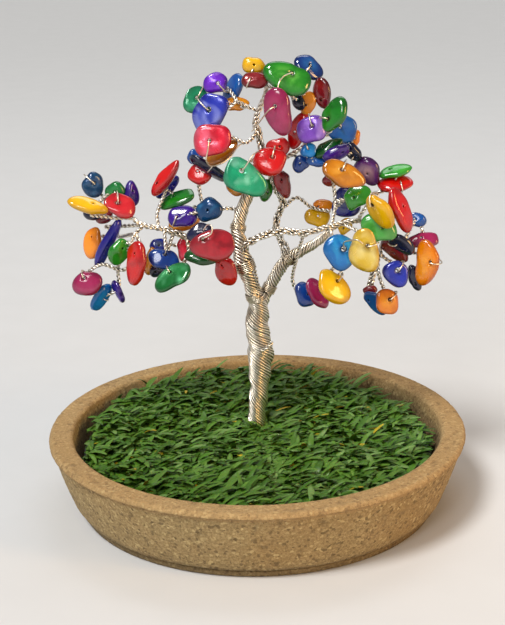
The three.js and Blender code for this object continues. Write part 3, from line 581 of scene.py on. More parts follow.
def add_rope(skin, route, pairs):
    """A bough: several twisted pairs laid round each other. route rows are x, y, z, radius."""
    path = smooth_path(route, PAIR_PITCH / PAIR_STEPS)
    centre = path[:, :3]
    length = lengths_along(centre)
    reach = np.maximum(path[:, 3] - 2 * PAIR_WIRE_RADIUS, 0.16 * MM)
    for k in range(pairs):
        slow = 2 * math.pi * (k / pairs - length / ROPE_PITCH)
        wobble = noise_along(length, 4 * MM, 7.3 * k, 0)
        line = around(centre, reach * (1 + 0.9 * wobble), slow)
        fast = 2 * math.pi * (length / PAIR_PITCH + 0.37 * k)
        for half in (0, 1):
            strand = around(line, np.full(len(line), PAIR_WIRE_RADIUS), fast + half * math.pi)
            add_wire(skin, strand, PAIR_WIRE_RADIUS, 0.1 + 0.4 * half, sides=5)


def add_cable(skin, route):
    """The trunk or a stem: thick strands laid side by side on a steep twist over a core."""
    strand = STRAND_RADIUS
    path = smooth_path(route, 0.7 * MM)
    centre = path[:, :3]
    outer = path[:, 3]
    length = lengths_along(centre)
    pace = 1 + 0.30 * noise_along(length, 9 * MM, 3.1, 0)
    turn = -2 * math.pi * np.cumsum(np.gradient(length) * pace) / (CABLE_TWIST * outer.mean())
    narrow = (outer.mean() + outer.min()) / 2
    strands = round(2 * math.pi * (narrow - strand) / (2 * strand) * 0.95)
    for k in range(strands):
        first = 2 * math.pi * k / strands
        lobe = 1 + CABLE_LOBES * math.cos(2 * first) + 0.4 * CABLE_LOBES * math.cos(3 * first + 1)
        wobble = noise_along(length, 6 * MM, 5.7 * k, 1)
        sway = noise_along(length, 8 * MM, 2.9 * k, 9)
        reach = (outer - strand) * lobe + 0.14 * MM * wobble
        line = around(centre, reach, first + turn + sway * 0.10)
        thick = strand * (0.82 + 0.26 * abs(noise.noise(Vector((k * 1.9, 4, 0)))))
        add_wire(skin, line, thick, 0.5 + 0.5 * noise.noise(Vector((k * 3.3, 0, 0))), sides=7)
    core = max(outer.min() * (1 - CABLE_LOBES) - 1.5 * strand, 0.3 * MM)
    add_wire(skin, centre, core, 0.6, sides=16)


def add_wrap(skin, route, start, turns):
    """A wire wound tightly round a bundle, beginning at a share of the bundle's length."""
    path = smooth_path(route, 0.1 * MM)
    length = lengths_along(path[:, :3])
    samples = 18
    marks = np.arange(turns * samples + 1) / samples
    stations = np.minimum(length[-1] * start + marks * WRAP_PITCH, length[-1])
    _, side, up = steady_frames(path[:, :3])
    columns = np.hstack([path, side, up])
    rows = np.stack([np.interp(stations, length, column) for column in columns.T], axis=1)
    radius = rows[:, 3] + WIRE_RADIUS * 0.8
    angle = marks * 2 * math.pi
    aside = np.cos(angle)[:, None] * rows[:, 4:7] + np.sin(angle)[:, None] * rows[:, 7:10]
    add_wire(skin, rows[:, :3] + radius[:, None] * aside, WIRE_RADIUS, 0.9)


# ---------------------------------------------------------------- chips

class Seat:
    """Where a chip lies: the middle of its hole, its long side, its width and its front."""

    def __init__(self, middle, along, across, front, size):
        self.middle = np.array(middle, float)
        self.along = np.array(along, float)
        self.across = np.array(across, float)
        self.front = np.array(front, float)
        self.size = size

    def place(self, u, v, w):
        return (self.middle + np.multiply.outer(u, self.along)
                + np.multiply.outer(v, self.across) + np.multiply.outer(w, self.front))


def seat_of_node(name, joint):
    """The seat and the outline of a chip that the frame holds."""
    middle = np.array(joint["pos_m"], float)
    axis = np.array(joint["axis"], float)
    axis /= np.linalg.norm(axis)
    front = -axis
    points = np.array([v.co for v in NODES[name].data.vertices]) - middle
    height = points @ front
    half = np.abs(height).max()
    rim = points[np.abs(np.abs(height) - 0.4 * half) < 0.06 * half]
    rim = rim - np.outer(rim @ front, front)
    spread = np.linalg.svd(rim - rim.mean(axis=0), full_matrices=False)[2]
    along = spread[0] if spread[0][0] >= 0 else -spread[0]
    across = np.cross(front, along)
    flat = np.stack([rim @ along, rim @ across], axis=1) / 0.97
    centre = flat.mean(axis=0)
    order = np.argsort(np.arctan2(*(flat - centre).T[::-1]))
    corners = []
    for corner in flat[order]:
        if not corners or np.linalg.norm(corner - corners[-1]) > 0.15 * MM:
            corners.append(corner)
    if np.linalg.norm(corners[0] - corners[-1]) < 0.15 * MM:
        corners.pop()
    outline = round_outline(np.array(corners))
    for _ in range(3):
        outline = (np.roll(outline, 2, axis=0) + outline + np.roll(outline, -2, axis=0)) / 3
    size = (np.ptp(flat[:, 0]), np.ptp(flat[:, 1]), 2 * half)
    outline *= size[0] / np.ptp(outline[:, 0])
    return Seat(middle, along, across, front, size), outline


def round_outline(corners):
    """CHIP_SIDES points evenly spaced on a closed smooth curve through the corners."""
    count = len(corners)
    dense = []
    for i in range(count):
        p = [corners[(i + k) % count] for k in (-1, 0, 1, 2)]
        for t in np.arange(24) / 24:
            bend = 2 * p[0] - 5 * p[1] + 4 * p[2] - p[3]
            swing = 3 * p[1] - p[0] - 3 * p[2] + p[3]
            dense.append(0.5 * (2 * p[1] + (p[2] - p[0]) * t + bend * t ** 2 + swing * t ** 3))
    dense = np.array(dense + [dense[0]])
    length = lengths_along(dense)
    marks = np.arange(CHIP_SIDES) / CHIP_SIDES * length[-1]
    return np.stack([np.interp(marks, length, dense[:, i]) for i in range(2)], axis=1)


FORMS = {
    "oval": lambda a: (math.cos(a), math.sin(a)),
    "pebble": lambda a: (math.cos(a) * (1 + 0.06 * math.cos(3 * a + 1)),
                         math.sin(a) * (1 + 0.08 * math.cos(2 * a + 0.6))),
    "drop": lambda a: (math.cos(a), math.sin(a) * (1 - 0.24 * math.cos(a))),
    "stick": lambda a: (math.copysign(abs(math.cos(a)) ** 0.8, math.cos(a)),
                        math.copysign(abs(math.sin(a)) ** 0.6, math.sin(a))),
}


def seat_from(at, turn, size):
    """A seat from millimetres and degrees: roll of the long side, then tilt about it."""
    roll, tilt = (math.radians(t) for t in turn)
    matrix = Matrix.Rotation(-roll, 3, "Y") @ Matrix.Rotation(tilt, 3, "X")
    along, across = matrix @ Vector((1, 0, 0)), matrix @ Vector((0, 0, 1))
    front = matrix @ Vector((0, -1, 0))
    return Seat(np.array(at) * MM, along, across, front, tuple(s * MM for s in size))


def formed_outline(form, size):
    length, width, _ = size
    corners = [FORMS[form](a) for a in np.arange(16) / 16 * 2 * math.pi]
    return round_outline(np.array(corners) * np.array([length / 2, width / 2]))


def knobbed(outline, rng):
    """The outline with the few soft corners that tumbling leaves."""
    bearing = np.arctan2(outline[:, 1], outline[:, 0])
    reach = np.ones(len(outline))
    for corners, depth in ((3, 0.045), (4, 0.035), (5, 0.02)):
        reach += depth * np.cos(corners * bearing + rng.uniform(0, 6.28))
    return outline * reach[:, None]


# Limits of a facet's level and of its slopes along and across the chip.
FACET_LIMITS = ((0.78, 1.0), (-1.1, 1.1), (-1.1, 1.1))


def crown_height(reach, off, size, facets):
    """How high a pebble's face is at shares of the way to its rim, cut by soft facets."""
    crown = np.sqrt(1 - reach ** 2.15)
    for level, slope_u, slope_v in facets:
        cut = level + slope_u * off[:, 0] / size[0] + slope_v * off[:, 1] / size[1]
        crown = -np.log(np.exp(-9 * crown) + np.exp(-9 * cut)) / 9
    return crown


def add_chip(skin, seat, outline, seed, cup=0.0, wedge=0.0, lumps=0.35, dirt=0.0,
             hole=HOLE_RADIUS, plump=PLUMP, narrow=1.0):
    """A tumbled chip: a pebble with a drilled hole, softly worn facets and an uneven surface.
    cup hollows the front, wedge makes one end thinner, lumps is the height of the unevenness,
    and plump and narrow are the thickness and the width as shares of its seat's."""
    length = seat.size[0]
    half = seat.size[2] / 2 * plump
    rng = random.Random(seed)
    outline = knobbed(outline, rng) * np.array([1.0, narrow])
    centre = (outline.max(axis=0) + outline.min(axis=0)) / 2
    bearings = np.arctan2(*(outline - centre).T[::-1])
    order = np.argsort(bearings)
    spans = np.linalg.norm(outline - centre, axis=1)
    angles = np.arctan2(outline[:, 1], outline[:, 0])
    bore = hole * np.stack([np.cos(angles), np.sin(angles)], axis=1)
    turn = np.linspace(0.10, 0.95, FACE_STEPS) * math.pi / 2
    top = [(0.0, 0.80), (0.02, 0.95)] + [(share, 1.0) for share in np.sin(turn)]
    rows = top + [(1.0, 0.0)] + [(share, -height) for share, height in reversed(top)]
    rows += [(0.0, -0.4), (0.0, 0.0), (0.0, 0.4)]
    scatter = Vector((seed * 1.7, seed * 2.9, seed * 0.7))
    facets = [[rng.uniform(*limits) for limits in FACET_LIMITS] for _ in range(6)]
    points, rims, hole_shades = [], [], []
    for share, height in rows:
        flat = bore + (outline - bore) * share
        off = flat - centre
        bearing = np.arctan2(off[:, 1], off[:, 0])
        span = np.interp(bearing, bearings[order], spans[order], period=2 * math.pi)
        reach = np.minimum(np.linalg.norm(off, axis=1) / span, 1)
        crown = crown_height(reach, off, seat.size, facets[:3] if height > 0 else facets[3:])
        crown = np.maximum(crown, 0.02) if height else crown * 0
        if height > 0:
            crown = crown * (1 - 0.7 * cup * (1 - reach ** 2))
        for (u, v), high, far in zip(flat, crown, reach):
            here = Vector((u, v, height * half))
            low = noise.noise(here / (4.2 * MM) + scatter)
            mid = noise.noise(here / (1.9 * MM) + scatter * 2)
            swell = 1 + wedge * u / length * 1.6 + lumps * (0.30 * low + 0.08 * mid)
            bulge = 1 + share * lumps * 0.12 * low
            points.append(seat.place(u * bulge, v * bulge, height * high * half * swell))
            rims.append(far)
            # Painted shade on the hole's wall, and round the hole as much as the chip asks for.
            hole_shades.append(dirt * max(0.0, 1 - share * 4.5) + (0.55 if share == 0 else 0))
    faces = []
    count = len(rows)
    for i in range(count):
        for k in range(CHIP_SIDES):
            step = (k + 1) % CHIP_SIDES
            row, after = i * CHIP_SIDES, (i + 1) % count * CHIP_SIDES
            faces.append((row + k, after + k, after + step, row + step))
    skin.add(points, faces, rim=rims, dirt=hole_shades)


# Looks of the chips that turn: dye, finish, and what differs from a plain tumbled chip, including how
# strong the painted shade round the hole is.
CHIP_LOOKS = {
    "far_teal": ("teal", "pearl", {"plump": 1.1}),
    "far_yellow": ("yellow", "gloss", {"lumps": 0.25, "hole": TIGHT_HOLE, "narrow": 0.78}),
    "coral": ("coral", "gloss", {"dirt": 0.5, "plump": 1.1}),
    "far_orange": ("orange", "gloss", {"hole": TIGHT_HOLE, "plump": 1.1}),
    "indigo": ("indigo", "gloss", {"lumps": 0.3, "hole": TIGHT_HOLE, "plump": 1.6}),
    "left_green": ("leaf", "gloss", {"hole": TIGHT_HOLE}),
    "left_red": ("red", "gloss", {"hole": TIGHT_HOLE}),
    "low_magenta": ("magenta", "gloss", {"dirt": 0.4}),
    "high_red": ("red", "gloss", {"dirt": 0.5, "hole": TIGHT_HOLE, "narrow": 0.60, "plump": 1.5}),
    "left_blue": ("deep_blue", "gloss", {}),
    "pearl_green": ("pearl_green", "pearl", {"cup": 0.3}),
    "crimson": ("crimson", "gloss", {"dirt": 0.7, "lumps": 0.5}),
    "low_red": ("red", "gloss", {"hole": TIGHT_HOLE}),
    "pink_pearl": ("pink_pearl", "pearl", {"cup": 0.5, "lumps": 0.6}),
    "sea_green": ("sea_green", "pearl", {"dirt": 0.5, "plump": 1.1}),
    "blue_pearl": ("blue_pearl", "pearl", {"cup": 0.2, "hole": 0.75 * MM}),
    "lilac": ("lilac", "pearl", {"plump": 1.1}),
    "crown_blue": ("blue", "gloss", {}),
    "crown_green": ("leaf", "clear", {"lumps": 0.5, "dirt": 0.5}),
    "crown_magenta": ("magenta", "gloss", {"lumps": 0.3, "narrow": 0.90}),
    "crown_glass": ("deep_blue", "clear", {}),
    "teal_pearl": ("teal_pearl", "pearl", {"lumps": 0.8, "cup": 0.3, "hole": 0.7 * MM}),
    "heart_red": ("red", "gloss", {"lumps": 0.5}),
    "lilac_pearl": ("lilac_pearl", "pearl", {"lumps": 0.6, "dirt": 0.6}),
    "right_green": ("green", "gloss", {"dirt": 0.5}),
    "cupped_blue": ("blue", "gloss", {"cup": 0.9, "plump": 1.1}),
    "amber_leaf": ("amber", "clear", {"wedge": -0.4}),
    "clear_purple": ("clear_purple", "clear", {"hole": TIGHT_HOLE, "plump": 1.1}),
    "clear_blue": ("clear_blue", "clear", {"lumps": 0.3, "hole": TIGHT_HOLE}),
    "right_yellow": ("yellow", "gloss", {"dirt": 0.5}),
    "right_red": ("red", "gloss", {"lumps": 0.3, "hole": TIGHT_HOLE, "narrow": 0.88}),
    "jade": ("jade", "gloss", {"hole": TIGHT_HOLE}),
    "low_blue": ("azure", "pearl", {"lumps": 0.5, "dirt": 0.8, "hole": 0.7 * MM}),
    "yellow_pearl": ("yellow_pearl", "pearl", {"cup": 0.4, "dirt": 0.7}),
    "hanging_blue": ("deep_blue", "gloss", {"hole": TIGHT_HOLE}),
    "hanging_red": ("magenta", "gloss", {"hole": TIGHT_HOLE}),
    "hanging_yellow": ("yellow", "gloss", {"lumps": 0.3}),
    "big_orange": ("orange", "clear", {"lumps": 0.3}),
    "low_pearl": ("blue_pearl", "pearl", {"cup": 0.4, "dirt": 0.8, "hole": 0.7 * MM}),
    "low_orange": ("orange", "clear", {"dirt": 0.6}),
}


# ---------------------------------------------------------------- wire routes, in millimetres

# The same routes as the solids: rows of x, y, z and radius for the bundles, the share of the
# first bundle's length where each wrapping starts and its number of turns, and for each loop
# the points that it passes before the chips that it carries.
BRANCHES = {
    "trunk": {
        "cables": [[
            [0, 8, 13.6, 2.6], [0, 8, 16, 2.6], [0, 8, 21, 2.6], [0.5, 8, 26, 2.7], [1, 8, 31, 2.8],
            [1.2, 8, 36.5, 3.5], [1.5, 8, 42, 3.9], [1, 8, 46, 3.3], [0.5, 8, 50, 3.7], [1, 8, 54, 3.0],
            [0.7, 7.7, 57.5, 2.7], [0, 7.1, 60, 2.3], [-0.6, 6.6, 62, 1.8],
        ]],
        "ropes": [[[1.5, 4.0, 43, 0.5], [3.4, 3.7, 44.2, 0.5], [4.9, 3.6, 45.6, 0.45]]],
        "wraps": [(0.90, 3)],
        "loops": [],
    },
    "left_stem": {
        "cables": [[
            [0.9, 7.6, 53, 1.6], [0.2, 7.2, 56.5, 2.0], [-0.3, 7, 58.8, 2.1],
            [-1, 6, 63.5, 2.4], [-3, 5, 69.5, 2.7], [-4, 6, 74, 2.5],
            [-4.5, 8, 77.5, 2.1], [-3, 9, 84, 1.9], [-1, 9, 88.5, 1.7],
            [1, 8, 94.5, 1.5], [2.2, 8, 98.5, 1.3],
        ]],
        "ropes": [[[-4, 9, 83.5, 0.7], [-11, 10, 84, 0.6], [-17, 11, 84, 0.5]]],
        "wraps": [(0.10, 4), (0.30, 6), (0.55, 3)],
        "loops": [],
    },
    "right_stem": {
        "cables": [[
            [1.6, 8.2, 53, 1.3], [2.6, 8.6, 56.5, 1.6], [3.5, 9, 58.8, 1.7],
            [6.5, 9, 64.5, 1.9], [9.5, 8, 69, 2], [14, 7, 72, 1.6],
            [18, 6, 74.5, 1.4], [21, 5, 77.5, 1.1],
        ]],
        "ropes": [
            [
                [9.5, 8, 69, 1.6], [8.5, 10, 72, 1.4], [6.5, 13, 77, 1.2], [7.5, 14, 81.5, 1.1],
                [8.5, 13, 84.5, 1.1], [6.5, 12, 88.5, 1], [5, 11.5, 93, 0.9], [5, 11, 97, 0.8],
            ],
            [[8.5, 13.5, 83, 0.7], [12.5, 14, 85.5, 0.6], [16.5, 14, 83, 0.6], [22, 13, 81.5, 0.5]],
        ],
        "wraps": [(0.20, 5), (0.55, 4)],
        "loops": [],
    },
    "left_bough": {
        "cables": [],
        "ropes": [
            [
                [-4.5, 6, 73.8, 1.2], [-7.3, 6, 74.3, 1.2], [-12, 6, 75, 1.1], [-19, 5, 77, 1.1],
                [-25, 4, 79.5, 1], [-31, 4, 81, 0.9], [-34, 4, 83, 0.7],
            ],
            [[-27, 4.5, 80.3, 0.6], [-27, 7, 83, 0.5], [-26, 9, 86, 0.5]],
            [[-31, 4, 81, 0.7], [-33, 2, 79, 0.6], [-34, 0, 77, 0.5]],
        ],
        "loops": [
            ([[-34, 4, 83], [-37, 7.5, 84]], ["coral"]),
            ([[-34, 4, 83], [-39, 4.5, 83]], ["far_yellow"]),
            ([[-34, 4, 83], [-40, 9, 84], [-43, 12, 88]], ["far_teal"]),
            ([[-31, 4, 81], [-36, 7, 80]], ["indigo"]),
            ([[-33, 2, 79], [-39, 10.5, 76]], ["far_orange"]),
            ([[-34, 0, 77]], ["left_green"]),
            ([[-34, 0, 77], [-34, 2, 71], [-37, 2, 68.5], [-43, 3, 70]], ["low_magenta"]),
            ([[-33, 2, 79]], ["left_red"]),
            ([[-26, 9, 86]], ["high_red"]),
            ([[-25, 4, 79.5]], ["left_blue"]),
            ([[-19, 5, 77], [-18.5, 3, 73]], ["pearl_green"]),
            ([[-13, 6, 75.2], [-14, 0, 78]], ["crimson"]),
            ([[-10, 6, 75]], ["low_red"]),
        ],
    },
    "front_bough": {
        "cables": [],
        "ropes": [
            [
                [-3, 3.5, 73.5, 1.2], [-2, 2, 75.5, 1.2], [1, 1, 77.5, 1.2], [8.5, 0, 79.5, 1.1],
                [14, 0, 79, 1.1], [21, 0, 80.5, 1], [29, 2, 81.5, 0.8], [34, 7, 78, 0.7],
                [37, 8, 75, 0.6],
            ],
            [[21.5, 0, 80.5, 0.7], [23, 5, 84.5, 0.6], [22.5, 7, 91, 0.6], [23, 4, 94, 0.5]],
        ],
        "loops": [
            ([[23, 4, 94]], ["amber_leaf"]),
            ([[22.5, 7, 91], [28, 11, 92]], ["clear_purple"]),
            ([[23, 5, 84.5], [25, 8, 85.5]], ["clear_blue"]),
            ([[34, 7, 78]], ["jade"]),
            ([[29, 2, 81.5], [30.5, 0, 85]], ["right_yellow"]),
            ([[34, 7, 78], [38, 8, 83]], ["right_red"]),
            ([[21, 0, 80.5], [22, -1, 77.5]], ["low_blue"]),
            ([[25, 1, 81], [28, -4, 80.5]], ["yellow_pearl"]),
            ([[14, 0, 79], [12, 5, 70], [11, 9, 62]], ["hanging_blue"]),
            ([[21, 0, 80.5], [23.5, -2, 71]], ["hanging_yellow", "hanging_red"]),
            ([[37, 8, 75], [36, 5, 71]], ["low_pearl"]),
            ([[37, 8, 75], [44, 8, 71]], ["big_orange"]),
            ([[37, 8, 75], [35, 4, 67]], ["low_orange"]),
        ],
    },
    "crown_wires": {
        "cables": [],
        "ropes": [
            [
                [1.2, 8, 95, 1.4], [2.2, 8, 98.5, 1.3], [2, 8, 105.5, 1.1], [1, 8, 108.5, 1],
                [2, 8, 112, 0.9], [4, 8, 117, 0.6], [4, 7, 121, 0.5],
            ],
            [[2, 8, 111.5, 0.6], [-1, 8, 113, 0.5], [-4, 6, 115, 0.4]],
            [[1.5, 8, 106.5, 0.6], [-1.5, 5, 103.5, 0.5], [-6, 4, 105.5, 0.5]],
            [
                [2.5, 8, 99.5, 0.8], [8.5, 8, 98.5, 0.7], [13.5, 8, 101, 0.6], [16, 7, 103, 0.5],
                [19, 6, 105, 0.5],
            ],
        ],
        "loops": [
            ([[-6, 4, 105.5]], ["pink_pearl"]),
            ([[-4, 6, 115], [-8, 8, 112]], ["blue_pearl"]),
            ([[-1, 8, 113], [-10, 12, 112], [-14, 12.5, 113]], ["sea_green"]),
            ([[-4, 6, 115], [-6, 9.5, 117.5]], ["lilac"]),
            ([[-1, 8, 113], [-4, 13, 114]], ["crown_blue"]),
            ([[4, 7, 121]], ["crown_green"]),
            ([[4, 8, 117]], ["crown_magenta"]),
            ([[4, 7, 121], [11, 13, 120]], ["crown_glass"]),
            ([[2, 8, 99], [-1, 3, 98.5]], ["teal_pearl"]),
            ([[2, 8, 99]], ["heart_red"]),
            ([[16, 7, 103], [17, 5, 105.5]], ["lilac_pearl"]),
            ([[19, 6, 105], [21.5, 2, 107]], ["right_green"]),
            ([[19, 6, 105], [23, 12, 104.5]], ["cupped_blue"]),
        ],
    },
}

# Clusters of chips that are jammed against each other: the route of the pair that they are
# threaded on, or None where it runs from chip to chip, and each chip's middle, [roll, tilt],
# size, form, dye, and finish if it isn't gloss.
SPRAYS = {
    "far_left_spray": (
        [[-35, 9, 85], [-34.5, 11, 88], [-39, 10, 89.5], [-45.5, 8, 83.5], [-42.5, 9, 82.5]],
        [
            ([-34.5, 11, 88], [88, 30], [8.4, 4.6, 3], "drop", "purple"),
            ([-39, 10, 89.5], [30, 0], [6, 5, 2.6], "pebble", "pearl_green"),
            ([-45.5, 8, 83.5], [0, -20], [5, 4, 2.6], "oval", "navy"),
            ([-42.5, 9, 82.5], [10, -30], [5.6, 4.6, 2.6], "oval", "dark_red"),
        ],
    ),
    "low_left_spray": (
        [[-38.5, 4, 69], [-39, 5, 62], [-44, 6, 59.5]],
        [
            ([-39, 5, 61.5], [-70, 60], [7.6, 4.6, 2.2], "oval", "purple", "pearl"),
            ([-44, 6, 59.5], [60, 55], [9.4, 6.4, 2.8], "pebble", "azure"),
        ],
    ),
    "high_left_spray": (
        None,
        [
            ([-12.5, 6, 84.5], [30, -20], [7.6, 7, 3], "pebble", "teal", "pearl"),
            ([-20, 7, 82.5], [10, -25], [8.6, 6.2, 3], "oval", "purple"),
            ([-20, 12, 79.5], [5, -20], [9, 5, 2.8], "drop", "amber"),
            ([-21.5, 11, 86.5], [22, -60], [10.2, 5.6, 2.4], "stick", "green"),
            ([-24.5, 14.5, 89], [45, 40], [9.4, 4.4, 2.6], "oval", "indigo"),
        ],
    ),
    "low_left_inner_spray": (
        None,
        [
            ([-27.5, 6, 67], [20, 0], [5, 4, 2.6], "oval", "navy"),
            ([-29.5, 7, 69.5], [80, 10], [8.4, 4, 2.8], "drop", "amber"),
            ([-27, 8, 74], [0, -30], [5, 4, 2.6], "pebble", "clear_blue", "clear"),
            ([-19.5, 8, 73], [85, 25], [7.6, 5.2, 3], "oval", "pink_pearl"),
            ([-14.5, 0.5, 72.5], [-6, -60], [10, 6, 2.8], "oval", "dark_green"),
        ],
    ),
    "crown_left_spray": (
        None,
        [
            ([-15, 9, 94], [0, -10], [6.4, 6.2, 3], "pebble", "red"),
            ([-12, 7, 96], [-37, 50], [12, 5, 2.6], "stick", "navy"),
            ([-16, 9, 99], [0, 0], [4.6, 4.4, 2.6], "oval", "blue"),
            ([-8.5, 5.5, 101], [33, -50], [10.2, 6, 2.6], "drop", "amber", "clear"),
        ],
    ),
    "crown_top_spray": (
        [[1, 6, 124.5], [1, 3, 121], [10, 6, 117], [13, 8, 114], [15.5, 9, 113.5], [19.5, 9, 116.5]],
        [
            ([1, 6, 124.5], [-10, -20], [6.8, 4.6, 3.4], "drop", "yellow"),
            ([1, 3, 121], [0, -25], [7.4, 4.6, 2.8], "oval", "dark_red", "pearl"),
            ([13, 8, 114], [-60, 0], [5, 3.6, 2.6], "oval", "navy"),
            ([15.5, 9, 113.5], [80, 10], [6.6, 5, 2.8], "oval", "amber"),
            ([19.5, 9, 116.5], [-80, 35], [9.4, 5.4, 2.8], "oval", "dark_red", "clear"),
        ],
    ),
    "high_right_spray": (
        None,
        [
            ([13, 9, 106], [70, -10], [10.4, 5.6, 2.8], "oval", "red"),
            ([15.5, 3, 101.5], [20, -10], [4.6, 4, 2.4], "oval", "azure"),
            ([17.5, 4, 98.5], [-10, -20], [5.4, 4, 2.6], "pebble", "blue"),
            ([21, 3.5, 102], [30, -50], [8.6, 4.4, 2.6], "drop", "dark_green"),
            ([23, 3, 100.5], [22, 40], [8.2, 4.8, 3], "stick", "purple"),
            ([28, 7, 100], [-45, 30], [6, 4.4, 2.6], "pebble", "navy"),
            ([28, 11, 103], [50, -10], [6, 4.6, 2.6], "drop", "orange"),
        ],
    ),
    "right_spray": (
        [[29, 4, 88], [36, 7, 88.5], [40, 7.5, 90.5], [40, 8.5, 94]],
        [
            ([29, 4, 88], [40, -20], [8, 6.6, 3], "pebble", "leaf"),
            ([40, 7.5, 90.5], [8, -62], [9.6, 6, 2.4], "stick", "red"),
            ([40, 8.5, 94], [12, -72], [9.4, 5.4, 2.2], "oval", "leaf"),
        ],
    ),
    "low_right_spray": (
        None,
        [
            ([40, 4.5, 72], [-42, 40], [10, 6, 2.6], "drop", "dark_red"),
            ([41.5, 2, 74.5], [-38, 40], [8.6, 6, 3], "oval", "navy"),
            ([46.5, 8, 80], [-10, -10], [5, 4.4, 2.8], "pebble", "blue"),
            ([48, 6, 74.5], [8, -30], [8.6, 4.4, 3], "stick", "magenta"),
            ([45.5, 5, 64], [-70, 20], [8.6, 3.6, 2.8], "oval", "navy"),
        ],
    ),
}

# Small chips of the inside of the tree, which have no solid of their own.
INNER_CHIPS = [
    ([34.5, 4, 57], [-50, 45], [8.6, 6, 2.8], "pebble", "blue"),
    ([33, 6, 60], [20, 0], [4, 2.8, 2], "stick", "dark_red"),
    ([7, 6.5, 101.5], [30, 0], [7, 6, 2.8], "pebble", "red"),
    ([8.5, 10, 90.5], [-75, 20], [8.4, 4.6, 3], "drop", "dark_red"),
    ([3.5, 12, 88.5], [80, 10], [6.6, 4.4, 2.8], "oval", "green"),
    ([-5, 12, 89], [-40, -20], [5.6, 3.8, 2.6], "drop", "amber"),
    ([20, 15, 83], [0, -10], [5.6, 3.6, 2.6], "oval", "orange"),
    ([18.5, 15, 79.5], [-10, -20], [7.6, 5.6, 2.8], "oval", "yellow"),
    ([26, 8, 78.5], [60, 0], [5, 3.8, 2.6], "oval", "yellow"),
    ([-15, 0, 79.5], [20, -20], [7.4, 5, 2.8], "oval", "navy"),
    ([-4, 10, 113.5], [0, -20], [7.4, 4, 2.6], "drop", "amber"),
    ([13.5, 9, 96.5], [60, 0], [5.4, 4.6, 2.6], "oval", "deep_blue"),
    ([22, 8, 92], [20, 0], [5, 4, 2.6], "oval", "dark_red"),
]


# ---------------------------------------------------------------- the tree's parts

def nearest_wire(point):
    """The point nearest to a place on the centre line of any bundle."""
    best = None
    for branch in BRANCHES.values():
        for route in branch["cables"] + branch["ropes"]:
            line = smooth_path(millimetres(route), 1 * MM)[:, :3]
            gaps = np.linalg.norm(line - point, axis=1)
            if best is None or gaps.min() < best[0]:
                best = (gaps.min(), line[gaps.argmin()])
    return best


def edge_reach(outline):
    """How far the outline is from the hole, towards the edge that the hole is nearest."""
    reach = np.linalg.norm(outline, axis=1)
    nearest = reach.argmin()
    direction = outline[nearest] / reach[nearest]
    return direction, reach[nearest]


def swept_reach(outline, direction):
    """The furthest that the outline comes towards an edge while the chip turns."""
    cosines = outline @ direction / np.linalg.norm(outline, axis=1)
    return np.linalg.norm(outline[cosines > math.cos(MOST_TURN)], axis=1).max()


def loop_through(seat, outline, from_point):
    """Points of the single wire that enters a hole, comes back over the nearest edge and
    returns to where it began."""
    direction, _ = edge_reach(outline)
    reach = swept_reach(outline, direction)
    half = seat.size[2] / 2
    sign = 1.0 if np.dot(seat.middle - from_point, seat.front) > 0 else -1.0
    outward = direction[0] * seat.along + direction[1] * seat.across
    through = seat.front * sign
    joint = seat.middle - through * (half + WIRE_BEHIND) + outward * reach * 0.35
    points = [
        joint,
        seat.middle - through * (half + 0.5 * MM),
        seat.middle,
        seat.middle + through * (half + 0.25 * MM),
        seat.middle + through * (half + 0.35 * MM) + outward * reach * 0.5,
        seat.middle + outward * (reach + 0.30 * MM) + through * half * 0.35,
        seat.middle + outward * (reach + 0.25 * MM) - through * half * 0.7,
        joint + outward * 0.25 * MM,
    ]
    return joint, np.array(points)


# Single wires that leave the hole of a chip at its front and pass in an arc to a bough or a
# neighbour, in millimetres.
ARCS = {
    "pink_pearl": [
        [-12, -3.5, 103.5], [-12.5, -3, 100.5], [-11.5, -1, 98.5], [-8.5, 2, 98.5], [-6, 4, 100],
        [-3.5, 7, 102.5], [0.5, 8, 104],
    ],
    "teal_pearl": [[-1, -5.5, 100.5], [0, -5, 102], [1.5, -3, 102.5], [3, 0, 101.5]],
    "crown_magenta": [[5, -5, 114.5], [3.5, -3, 112.5], [1.5, 2, 109], [0, 6, 106.5]],
    "crown_green": [[9, 0, 122.5], [7.5, -1.5, 121], [7, -2, 119], [6.5, 0, 116.5]],
    "low_blue": [[24.5, -8, 78], [26, -9.5, 79], [28, -11, 79.5], [29.5, -11, 78.5]],
    "crimson": [
        [-11.5, -8.5, 81.5], [-11.5, -8, 83.5], [-12.5, -7, 83.5], [-13.5, -6, 82], [-14, -4.5, 80],
    ],
}


def stub_behind(seat):
    """Points of a wire that holds a chip from behind."""
    half = seat.size[2] / 2
    joint = seat.middle - seat.front * (half + WIRE_BEHIND)
    return joint, np.array([joint, seat.middle - seat.front * half, seat.middle])


def arc_through(seat, points):
    """Points of a wire that comes through a hole from behind and goes on along an arc."""
    half = seat.size[2] / 2
    joint = seat.middle - seat.front * (half + WIRE_BEHIND)
    start = [joint, seat.middle, seat.middle + seat.front * (half + 0.3 * MM)]
    return joint, np.array(start + list(millimetres(points)))


seats = {}
for joint in frame["joints"]:
    seats[joint["child"].removesuffix("_chip")] = seat_of_node(joint["child"], joint)


def add_loop(skin, waypoints, chips):
    """A twisted pair from the bough, opening to single wire where it carries chips."""
    stops = list(millimetres(waypoints))
    for name in chips:
        seat, outline = seats[name]
        if CHIP_LOOKS[name][2].get("hole", HOLE_RADIUS) < HOLE_RADIUS:
            joint, points = stub_behind(seat)
        elif name in ARCS:
            joint, points = arc_through(seat, ARCS[name])
        else:
            joint, points = loop_through(seat, outline, stops[-1])
        add_pair(skin, np.array(stops + [joint]), start=seat.middle[0] * 900)
        add_wire(skin, smooth_path(points, WIRE_STEP), WIRE_RADIUS, 0.7)
        stops = [stops[-1]]


